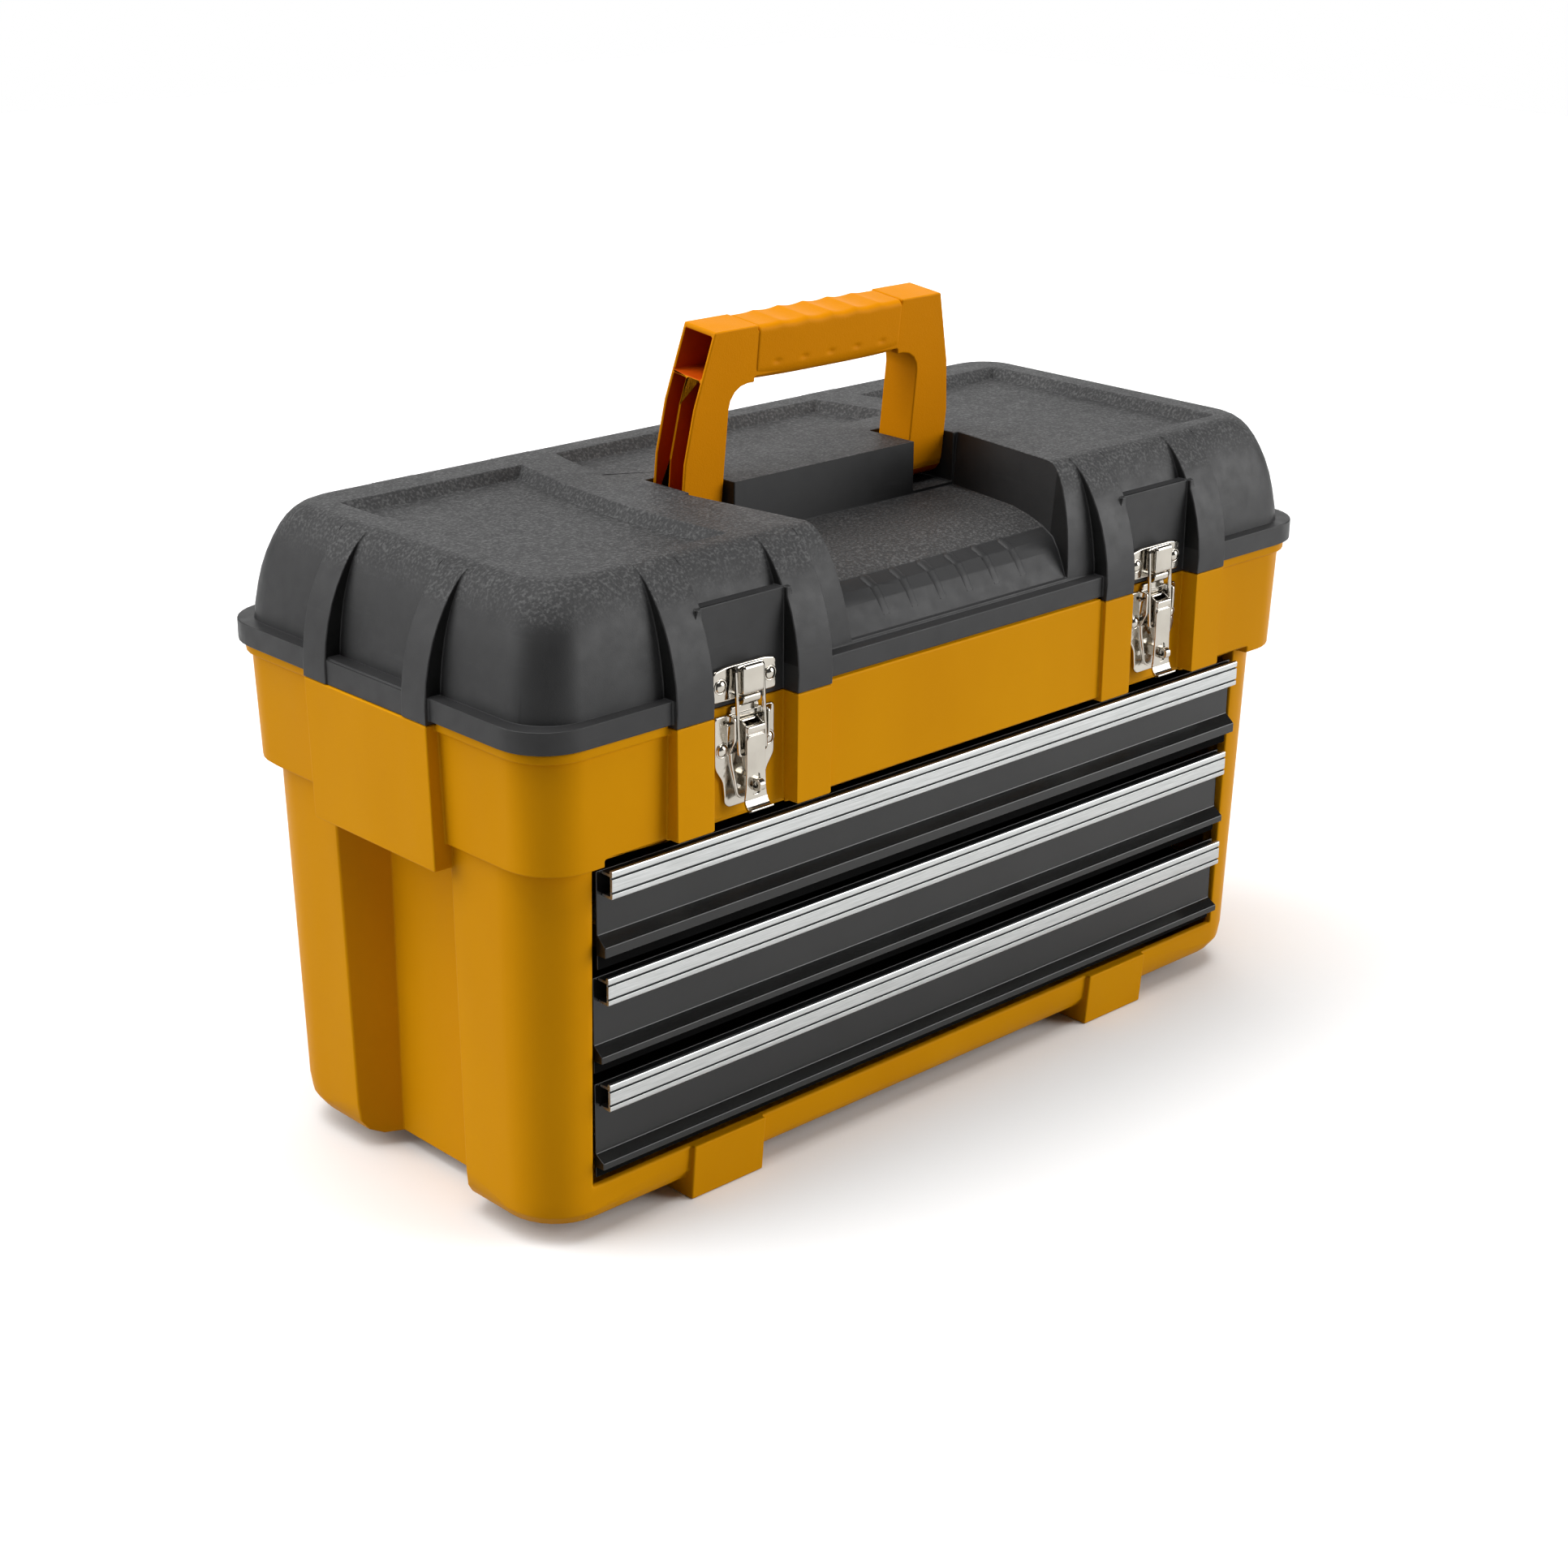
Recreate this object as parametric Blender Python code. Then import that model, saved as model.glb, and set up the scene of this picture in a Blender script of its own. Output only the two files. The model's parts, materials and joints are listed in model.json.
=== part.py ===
"""Portable toolbox with three steel drawers, a domed lid, a folding handle and a lift-out tray.

Metres, +Z up. The origin is on the floor under the middle of the box, +X runs along its
length and the drawers face -Y. Every object is one physical piece.
"""

from math import cos, hypot, pi, radians, sin

import bmesh
import bpy
from mathutils import Matrix, Vector

# Fits
GAP = 0.0003  # between pieces that touch
RUNNING_GAP = 0.0005  # between pieces that slide or turn
OVERLAP = 0.001  # of shapes joined into one piece
SIDES = (("left", -1), ("right", 1))

# Body shell: half sizes in x and y at named heights
FLOOR_Z = 0.008
LOWER_TOP = (0.206, 0.274, 0.115)
LOWER_BOTTOM = (0.026, 0.2703, 0.111)
COLLAR_Z = 0.205
COLLAR_BOTTOM = (0.2775, 0.1245)
COLLAR_TOP = (0.2795, 0.1260)
RIM_Z = 0.2659  # parting line between body and lid
RIM_TOP = 0.2675  # top of the rim between the pads
TRIM_Z = 0.2672  # the pads' height before they are trimmed to the parting line
ABOVE_RIM = 0.280  # cutters reach up to here
CORNER_RADIUS = 0.027
WALL = 0.0042
COMPARTMENT_FLOOR = 0.2090
BAY_TOP = 0.2057
BAY_FLOOR = 0.013
BAY_HALF_X = 0.243
BAY_FRONT_Y = -0.107
BAY_BACK_Y = 0.1065

# Drawer opening in the front
OPENING_HALF_X = 0.2408
OPENING_Z = (0.0308, 0.2057)
BROW_Y = -0.1185  # the collar is cut back to here above the drawers

# Hollows behind the four corners
COLUMN_X = (0.235, 0.260)
COLUMN_Y = (0.057, 0.100)
COLUMN_Z = (0.032, 0.200)

# Upright pads on the front and the back, as |x| ranges. The rear ones stop short of the hinge
# axis, so that the lid clears the body.
FACES = (("front", -1, 0.1326, 0.1303), ("back", 1, 0.1306, 0.1288))  # name, side, pad y, band y
INNER_PILASTER = (0.1023, 0.1254)
OUTER_PILASTER = (0.1797, 0.2031)
PILASTER_Z = 0.2090
BAND_Z = 0.2110
RECESS_Y = 0.1220
LATCH_X = (INNER_PILASTER[1] + OUTER_PILASTER[0]) / 2

# Lifting grips in the ends
GRIP_HALF_Y = 0.050
GRIP_X = (0.2844, 0.2865)
GRIP_Z = 0.1915
GRIP_ROOT_X = 0.262
CHANNEL_MOUTH_X = 0.290
CHANNEL_FLOOR_X = 0.249
CHANNEL_FLOOR_HALF_Y = 0.036

# Feet
FOOT_X = (0.1275, 0.1768)
FOOT_FRONT_Y = (0.1115, 0.1143)
FOOT_ROOT_Y = 0.104
FOOT_BACK_Y = 0.084
FOOT_TOP_Z = 0.0327

# Lid
LID_Z = 0.2662
FLANGE_Z = (0.2682, 0.2795)
FLANGE_HALF = (0.2843, 0.1300)
LID_TOP = 0.3395
DOME = (
    (0.2760, 0.2775, 0.1238),
    (0.2870, 0.2766, 0.1229),
    (0.2970, 0.2752, 0.1214),
    (0.3060, 0.2735, 0.1196),
    (0.3140, 0.2713, 0.1174),
    (0.3210, 0.2688, 0.1149),
    (0.3270, 0.2662, 0.1123),
    (0.3318, 0.2635, 0.1096),
    (0.3352, 0.2608, 0.1069),
    (0.3377, 0.2579, 0.1040),
    (0.3391, 0.2550, 0.1011),
    (LID_TOP, 0.2524, 0.0985),
)
LID_CAVITY = (
    (0.2600, 0.2740, 0.1196),
    (0.2850, 0.2735, 0.1191),
    (0.3060, 0.2690, 0.1149),
    (0.3200, 0.2625, 0.1084),
    (0.3300, 0.2550, 0.1009),
)
PANEL_Z = 0.3335  # floor of the recesses in the top
PANEL_DRAFT = 0.0045  # slope of their walls
END_PANEL_X = (0.138, 0.240)
END_PANEL_Y = (-0.091, 0.0795)
MID_PANEL_X = 0.1115
MID_PANEL_Y = (0.034, 0.087)
PANEL_ARC = (0.450, -0.030)  # radius of the curved sides, and where in y they bulge most
PAD_TOP_Z = 0.3180

# Handle well in the lid
WELL_HALF_X = 0.0973
WELL_TAPER = (0.145, 0.10)  # how much its side walls close in towards the front, and downwards
WELL_FLARE = 0.0028  # how much wider it is than the leg slots, before it tapers
WELL_FLOOR_Z = 0.310
WELL_ROLL = (  # y, and how far the floor has fallen there
    (-0.0740, 0.0008),
    (-0.0882, 0.0030),
    (-0.1003, 0.0060),
    (-0.1087, 0.0096),
    (-0.1138, 0.0152),
    (-0.1183, 0.0222),
    (-0.1222, 0.0285),
)
ABOVE_LID = 0.350  # cutters reach up to here
OUTSIDE_Y = -0.150  # and out to here
BLOCK_HALF_X = 0.0665
BLOCK_FRONT_Y = -0.022
SLOT_FRONT_Y = -0.026
SLOT_BACK_Y = 0.0125
SLOT_FLOOR_Z = 0.312
WELL_WALL = 0.0032

# Handle, measured upright from its axis
HANDLE_AXIS = (-0.003, 0.327)
HANDLE_LEAN = radians(6)
HANDLE_TOP = 0.0940
HANDLE_HALF_Y = 0.0120
HANDLE_INNER_X = 0.0685
HANDLE_OUTER = ((0.0960, -0.0118), (0.0960, 0.0270), (0.0920, 0.0550), (0.0816, 0.0940))
GRIP_HALF_X = 0.0520
BAR_Z = (0.0670, 0.0910)
SHELF_Z = 0.0685
HANDLE_WALL = 0.0020
HANDLE_PIN_X = 0.0665
HANDLE_PIN_RADIUS = 0.0030

# Hinge
HINGE_AXIS = (0.131, 0.266)
KNUCKLE_RADIUS = 0.006
LID_KNUCKLE_HALF = 0.0124
BODY_KNUCKLE = (0.0130, 0.0260)
KNUCKLE_HALF = (BODY_KNUCKLE[1] - BODY_KNUCKLE[0]) / 2
HINGE_PIN_RADIUS = 0.0018
HINGE_PIN_HALF = 0.0265
HINGE_BORE_HALF = 0.030

# Drawers, counted from the top
DRAWER_TOPS = (0.2008, 0.1442, 0.0876)
DRAWER_AJAR = (0.004, 0.0, 0.0)
FRONT_HEIGHT = 0.0524
FRONT_HALF_X = 0.2385
FRONT_FACE_Y = -0.1105
LIP_Y = -0.1165
SHEET = 0.0012
PULL_HEIGHT = 0.0146
PULL_HALF_X = 0.2353
PULL_Y = -0.1185
PAN_HALF_X = 0.226
PAN_BACK_Y = 0.094
PAN_HEIGHT = 0.040
SLIDE_HALF_Z = 0.0040
RUNNER_Y = (-0.100, 0.100)

# Latches, in y and z; u is measured from the latch's middle
LATCH_AXIS = (-0.1260, 0.2580)
BAIL_AXIS = (-0.1295, 0.2420)
PLATE_THICKNESS = 0.0014
LEVER_HALF_U = 0.0060
LEVER_FRONT_Y = -0.1325
BAIL_HALF_U = 0.0087
BAIL_TOP = (-0.1270, 0.2859)
WIRE_RADIUS = 0.0010
BOSS_HALF_U = 0.0060
STAPLE_Z = (0.2240, 0.2290)

# Lift-out tray
TRAY_BOTTOM = (0.2160, 0.2620, 0.1090)
TRAY_TOP = (0.2560, 0.2680, 0.1140)
TRAY_WALL = 0.0020
TRAY_BAR_X = 0.090
TRAY_HANDLE = (0.060, 0.2840)
LEDGE_X = (0.262, 0.2745)


# Scene and mesh helpers


def clear_scene():
    for old in list(bpy.data.objects):
        bpy.data.objects.remove(old, do_unlink=True)


def new_collection(name):
    collection = bpy.data.collections.new(name)
    bpy.context.scene.collection.children.link(collection)
    return collection


def material(name, colour, roughness, metallic=0.0):
    made = bpy.data.materials.new(name)
    made.use_nodes = True
    shader = made.node_tree.nodes["Principled BSDF"]
    shader.inputs["Base Color"].default_value = (*colour, 1)
    shader.inputs["Roughness"].default_value = roughness
    shader.inputs["Metallic"].default_value = metallic
    made.diffuse_color = (*colour, 1)
    return made


def mesh_from(bm, name):
    bmesh.ops.recalc_face_normals(bm, faces=bm.faces)
    mesh = bpy.data.meshes.new(name)
    bm.to_mesh(mesh)
    bm.free()
    return mesh


def piece(name, bm, finish, at=(0, 0, 0), parent=None):
    """A named part. Its mesh is given in world coordinates and at is its origin."""
    bmesh.ops.translate(bm, verts=bm.verts, vec=-Vector(at))
    obj = bpy.data.objects.new(name, mesh_from(bm, name))
    obj.data.materials.append(finish)
    PARTS.objects.link(obj)
    place(obj, at, parent)
    return obj


def place(obj, at, parent):
    obj.location = at
    if parent:
        obj.parent = parent
        obj.matrix_parent_inverse = parent.matrix_world.inverted()


def joint_empty(name, at, parent=None):
    empty = bpy.data.objects.new(name, None)
    empty.empty_display_size = 0.02
    PARTS.objects.link(empty)
    place(empty, at, parent)
    bpy.context.view_layer.update()
    return empty


def helper(name, bm):
    obj = bpy.data.objects.new(name, mesh_from(bm, name))
    obj.display_type = "WIRE"
    obj.hide_render = True
    CUTTERS.objects.link(obj)
    return obj


def boolean(obj, operation, label, *shapes):
    """Adds one Boolean; its shapes don't touch each other."""
    other = helper(f"{obj.name}_{label}", merged(*shapes))
    modifier = obj.modifiers.new(label, "BOOLEAN")
    modifier.operation = operation
    modifier.object = other
    other.parent = obj.parent
    other.matrix_parent_inverse = obj.matrix_parent_inverse
    return other


def cut(obj, label, *shapes):
    return boolean(obj, "DIFFERENCE", label, *shapes)


def join(obj, label, *shapes):
    return boolean(obj, "UNION", label, *shapes)


def merged(*shapes):
    whole = shapes[0]
    for shape in shapes[1:]:
        extra = bpy.data.meshes.new("extra")
        bmesh.ops.recalc_face_normals(shape, faces=shape.faces)
        shape.to_mesh(extra)
        shape.free()
        whole.from_mesh(extra)
        bpy.data.meshes.remove(extra)
    return whole


def block(x, y, z):
    """A box between the given pairs of coordinates."""
    bm = bmesh.new()
    size = [abs(b - a) for a, b in (x, y, z)]
    middle = [(a + b) / 2 for a, b in (x, y, z)]
    matrix = Matrix.Translation(middle) @ Matrix.Diagonal((*size, 1))
    bmesh.ops.create_cube(bm, size=1, matrix=matrix)
    return bm


def rod(centre, radius, half_length, axis="X", segments=16):
    """A round bar along one axis."""
    bm = bmesh.new()
    turn = {"X": Matrix.Rotation(pi / 2, 4, "Y"), "Y": Matrix.Rotation(pi / 2, 4, "X")}[axis]
    bmesh.ops.create_cone(
        bm,
        cap_ends=True,
        segments=segments,
        radius1=radius,
        radius2=radius,
        depth=2 * half_length,
        matrix=Matrix.Translation(centre) @ turn,
    )
    return bm


def tower(levels, radius, segments=8):
    """A rounded rectangle drawn up through levels of (z, half x, half y)."""
    bm = bmesh.new()
    z, half_x, half_y = levels[0]
    bmesh.ops.create_grid(bm, x_segments=1, y_segments=1, size=1)
    bmesh.ops.scale(bm, verts=bm.verts, vec=(half_x, half_y, 1))
    bmesh.ops.translate(bm, verts=bm.verts, vec=(0, 0, z))
    corners = bm.verts[:]
    bmesh.ops.bevel(bm, geom=corners, offset=radius, segments=segments, profile=0.5, affect="VERTICES")
    top = bm.faces[:][0]
    for step, (next_z, next_x, next_y) in enumerate(levels[1:]):
        grown = bmesh.ops.extrude_face_region(bm, geom=[top])["geom"]
        if step:
            bmesh.ops.delete(bm, geom=[top], context="FACES_ONLY")
        top = next(item for item in grown if isinstance(item, bmesh.types.BMFace))
        for vert in top.verts:
            vert.co = (vert.co.x * next_x / half_x, vert.co.y * next_y / half_y, next_z)
        half_x, half_y = next_x, next_y
    return bm


def outline_solid(outlines, span, plane):
    """A flat outline extruded over span. plane names the outline's two axes."""
    curve = bpy.data.curves.new("outline", "CURVE")
    curve.dimensions = "2D"
    curve.fill_mode = "BOTH"
    curve.extrude = abs(span[1] - span[0]) / 2
    for points in outlines:
        spline = curve.splines.new("POLY")
        spline.points.add(len(points) - 1)
        for point, (a, b) in zip(spline.points, points):
            point.co = (a, b, 0, 1)
        spline.use_cyclic_u = True
    source = bpy.data.objects.new("outline", curve)
    bpy.context.scene.collection.objects.link(source)
    graph = bpy.context.evaluated_depsgraph_get()
    mesh = bpy.data.meshes.new_from_object(source.evaluated_get(graph))
    bm = bmesh.new()
    bm.from_mesh(mesh)
    bpy.data.objects.remove(source)
    bpy.data.curves.remove(curve)
    bpy.data.meshes.remove(mesh)
    bmesh.ops.remove_doubles(bm, verts=bm.verts, dist=0.00001)
    middle = (span[0] + span[1]) / 2
    for vert in bm.verts:
        a, b, c = vert.co.x, vert.co.y, vert.co.z + middle
        vert.co = {"XZ": (a, c, b), "YZ": (c, a, b), "XY": (a, b, c)}[plane]
    return bm


def arc(centre, radius, start, end, steps):
    """Points round part of a circle, with the angles in degrees."""
    angles = [radians(start + (end - start) * k / steps) for k in range(steps + 1)]
    return [(centre[0] + radius * cos(a), centre[1] + radius * sin(a)) for a in angles]


def both_ways(points):
    """An outline of the right half, closed by its mirror image on the left."""
    return points + [(-a, b) for a, b in reversed(points)]


def signed(pair, side):
    return tuple(sorted(side * value for value in pair))


def four_corners():
    return [(side, face) for _, side in SIDES for face in (-1, 1)]


# Body


def pilaster_ranges():
    """The pilasters' x ranges, reaching a little past the edges of the recess that is cut between them."""
    inner = (INNER_PILASTER[0], INNER_PILASTER[1] + OVERLAP)
    outer = (OUTER_PILASTER[0] - OVERLAP, OUTER_PILASTER[1])
    return [signed(pair, side) for _, side in SIDES for pair in (inner, outer)]


def recess_range(side):
    return signed((INNER_PILASTER[1], OUTER_PILASTER[0]), side)


def foot(side, face):
    outline = [
        (FOOT_FRONT_Y[0], 0),
        (FOOT_FRONT_Y[1], FOOT_TOP_Z),
        (FOOT_ROOT_Y, FOOT_TOP_Z),
        (FOOT_BACK_Y, FLOOR_Z + 0.002),
        (FOOT_BACK_Y, 0),
    ]
    return outline_solid([[(face * y, z) for y, z in outline]], signed(FOOT_X, side), "YZ")


def end_channel(side):
    mouth = [(CHANNEL_MOUTH_X, GRIP_HALF_Y + 0.006), (CHANNEL_FLOOR_X, CHANNEL_FLOOR_HALF_Y)]
    outline = [(side * x, y) for x, y in mouth] + [(side * x, -y) for x, y in reversed(mouth)]
    return outline_solid([outline], (-0.010, GRIP_Z), "XY")


def end_block(side):
    """The pad over the lifting grip, drafted towards its lower edge."""
    outer = [(GRIP_X[0], GRIP_Z), (GRIP_X[1], RIM_Z), (GRIP_X[1], TRIM_Z)]
    outline = [(GRIP_ROOT_X, GRIP_Z), *outer, (GRIP_ROOT_X, TRIM_Z)]
    return outline_solid([[(side * x, z) for x, z in outline]], (-GRIP_HALF_Y, GRIP_HALF_Y), "XZ")


def body_knuckle(x, side, end):
    span = sorted((x + end * (BODY_KNUCKLE[0] + GAP), x + end * (BODY_KNUCKLE[1] - GAP)))
    return block(span, (RECESS_Y - 0.002, HINGE_AXIS[0]), (0.252, RIM_Z - 0.0001))


def build_body():
    _, x_low, y_low = LOWER_BOTTOM
    levels = (
        (FLOOR_Z, x_low - 0.012, y_low - 0.012),
        (FLOOR_Z + 0.003, x_low - 0.005, y_low - 0.005),
        (FLOOR_Z + 0.009, x_low - 0.001, y_low - 0.001),
        LOWER_BOTTOM,
        LOWER_TOP,
    )
    body = piece("body_shell", tower(levels, CORNER_RADIUS), YELLOW)
    join(body, "collar", tower(((COLLAR_Z, *COLLAR_BOTTOM), (RIM_Z, *COLLAR_TOP)), CORNER_RADIUS))
    join(
        body,
        "rim",
        tower(((0.2625, 0.2815, 0.1280), (RIM_TOP, 0.2815, 0.1280)), CORNER_RADIUS),
    )
    join(body, "end_blocks", *[end_block(side) for _, side in SIDES])
    cut(body, "end_channels", *[end_channel(side) for _, side in SIDES])
    for label, face, _, band_y in FACES:
        join(body, f"{label}_band", block((-0.105, 0.105), signed((0.110, band_y), face), (BAND_Z, TRIM_Z)))
    for label, face, pad_y, _ in FACES:
        pads = [
            block(x, signed((0.109, pad_y), face), (PILASTER_Z, RIM_TOP - 0.0001))
            for x in pilaster_ranges()
        ]
        join(body, f"{label}_pilasters", *pads)
    notches = [
        block(
            signed((INNER_PILASTER[0] - OVERLAP, OUTER_PILASTER[1] + OVERLAP), side),
            signed((0.100, 0.140), face),
            (RIM_Z, ABOVE_RIM),
        )
        for side, face in four_corners()
    ]
    end_notch = GRIP_HALF_Y + OVERLAP
    notches += [
        block(signed((0.250, 0.300), side), (-end_notch, end_notch), (RIM_Z, ABOVE_RIM)) for _, side in SIDES
    ]
    cut(body, "rim_notches", *notches)
    join(body, "feet", *[foot(side, face) for side, face in four_corners()])
    recesses = [
        block(recess_range(side), signed((RECESS_Y, 0.150), face), (0.200, ABOVE_RIM))
        for side, face in four_corners()
    ]
    cut(body, "recesses", *recesses)
    pockets = [
        block(signed((GRIP_ROOT_X, 0.2805), side), (-0.043, 0.043), (GRIP_Z - 0.005, BAY_TOP - 0.001))
        for _, side in SIDES
    ]
    cut(body, "finger_pockets", *pockets)
    compartment = (
        (COMPARTMENT_FLOOR, COLLAR_BOTTOM[0] - WALL - 0.001, COLLAR_BOTTOM[1] - WALL - 0.001),
        (ABOVE_RIM, COLLAR_TOP[0] - WALL - 0.001, COLLAR_TOP[1] - WALL - 0.001),
    )
    cut(body, "compartment", tower(compartment, CORNER_RADIUS - WALL))
    cut(body, "bay", block((-BAY_HALF_X, BAY_HALF_X), (BAY_FRONT_Y, BAY_BACK_Y), (BAY_FLOOR, BAY_TOP)))
    across = (-OPENING_HALF_X, OPENING_HALF_X)
    cut(body, "opening", block(across, (OUTSIDE_Y, -0.100), OPENING_Z))
    cut(body, "brow", block(across, (OUTSIDE_Y, BROW_Y), (0.200, PILASTER_Z - 0.0002)))
    columns = [
        block(signed(COLUMN_X, side), signed(COLUMN_Y, face), COLUMN_Z)
        for side, face in four_corners()
    ]
    cut(body, "columns", *columns)
    ledges = [
        block(signed(LEDGE_X, side), (-0.060, 0.060), (COMPARTMENT_FLOOR - 0.002, TRAY_BOTTOM[0] - GAP))
        for _, side in SIDES
    ]
    join(body, "tray_ledges", *ledges)
    webs = [body_knuckle(side * LATCH_X, side, end) for _, side in SIDES for end in (-1, 1)]
    join(body, "hinge_webs", *webs)
    barrels = [
        rod((side * LATCH_X + end * sum(BODY_KNUCKLE) / 2, *HINGE_AXIS), KNUCKLE_RADIUS, KNUCKLE_HALF)
        for _, side in SIDES
        for end in (-1, 1)
    ]
    join(body, "hinge_barrels", *barrels)
    cut(body, "hinge_bores", *hinge_bores())


def hinge_bores():
    return [rod((side * LATCH_X, *HINGE_AXIS), HINGE_PIN_RADIUS + GAP, HINGE_BORE_HALF) for _, side in SIDES]


def build_hinge_pins():
    for name, side in SIDES:
        centre = (side * LATCH_X, *HINGE_AXIS)
        piece(f"hinge_pin_{name}", rod(centre, HINGE_PIN_RADIUS, HINGE_PIN_HALF), STEEL, centre)


# Lid


def lid_pilaster(x, face, pad_y):
    """A pad that follows the dome and fades into its top edge."""
    outline = [(pad_y, LID_Z)]
    for z, _, half_y in DOME:
        rise = (z - DOME[0][0]) / (LID_TOP - DOME[0][0])
        proud = (pad_y - DOME[0][2]) * (1 - rise**2.2) + 0.0004
        outline.append((half_y + proud, min(z, LID_TOP - 0.0004)))
    outline += [(0.088, LID_TOP - 0.0004), (0.088, LID_Z)]
    return outline_solid([[(face * y, z) for y, z in outline]], x, "YZ")


def end_rib(side, end):
    """A rib on the lid's end that fades out below the top."""
    outline = [(GRIP_X[1], LID_Z)]
    for z, half_x, _ in DOME[:-2]:
        rise = (z - DOME[0][0]) / (LID_TOP - DOME[0][0])
        outline.append((half_x + (GRIP_X[1] - DOME[0][1]) * (1 - rise**2.0), z))
    outline += [(0.245, outline[-1][1]), (0.245, LID_Z)]
    return outline_solid([[(side * x, z) for x, z in outline]], signed((0.031, GRIP_HALF_Y), end), "XZ")


def well_outline(drop, back):
    """The handle well from its rear wall to the front edge; drop lowers it and back widens it."""
    floor = [(BLOCK_FRONT_Y, 0), *WELL_ROLL]
    lowered = [(y + back, WELL_FLOOR_Z - fall - drop) for y, fall in floor]
    return [(BLOCK_FRONT_Y + back, ABOVE_LID), *lowered, (OUTSIDE_Y, lowered[-1][1]), (OUTSIDE_Y, ABOVE_LID)]


def well_cutter():
    """The well's space, between side walls that taper."""
    bm = outline_solid([well_outline(0, 0)], (-WELL_HALF_X, WELL_HALF_X), "YZ")
    for vert in bm.verts:
        forward = SLOT_FRONT_Y - vert.co.y
        down = LID_TOP - vert.co.z
        half = WELL_HALF_X + WELL_FLARE - WELL_TAPER[0] * forward - WELL_TAPER[1] * down
        vert.co.x = half if vert.co.x > 0 else -half
    return bm


def well_core():
    """The walls kept round the well and the leg slots when the lid is hollowed."""
    wide = WELL_HALF_X + WELL_WALL + WELL_FLARE / 2
    core = helper("well_core", outline_solid([well_outline(WELL_WALL, WELL_WALL)], (-wide, wide), "YZ"))
    slots = [
        block(
            signed((BLOCK_HALF_X - WELL_WALL, wide), side),
            (-0.030, SLOT_BACK_Y + WELL_WALL),
            (SLOT_FLOOR_Z - WELL_WALL, ABOVE_LID),
        )
        for _, side in SIDES
    ]
    join(core, "slots", *slots)
    return core


def spaced(low, high, steps):
    return [low + (high - low) * k / steps for k in range(steps + 1)]


def panel_arc(apex, ys):
    """The curved side of a panel, as points (x, y)."""
    radius, middle = PANEL_ARC
    return [(apex - (y - middle) ** 2 / (2 * radius), y) for y in ys]


def end_panel_outline(inset):
    low, high = END_PANEL_Y[0] + inset, END_PANEL_Y[1] - inset
    outer = END_PANEL_X[1] - inset
    return panel_arc(END_PANEL_X[0] + inset, spaced(low, high, 8)) + [(outer, high), (outer, low)]


def mid_panel_outline(inset):
    low, high = MID_PANEL_Y[0] + inset, MID_PANEL_Y[1] - inset
    side = panel_arc(MID_PANEL_X - inset, spaced(low, high, 4))
    return side + [(-x, y) for x, y in reversed(side)]


def panel_cutter(outline, side):
    """A recess whose walls slope in towards its floor."""
    top = LID_TOP + 0.002
    slope = PANEL_DRAFT / (LID_TOP - PANEL_Z)
    narrow = outline(PANEL_DRAFT)
    wide = outline(PANEL_DRAFT - slope * (top - PANEL_Z))
    bm = outline_solid([[(side * x, y) for x, y in narrow]], (PANEL_Z, top), "XY")
    for vert in bm.verts:
        if vert.co.z > LID_TOP:
            away = [hypot(side * x - vert.co.x, y - vert.co.y) for x, y in narrow]
            x, y = wide[away.index(min(away))]
            vert.co.x, vert.co.y = side * x, y
    return bm


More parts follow.
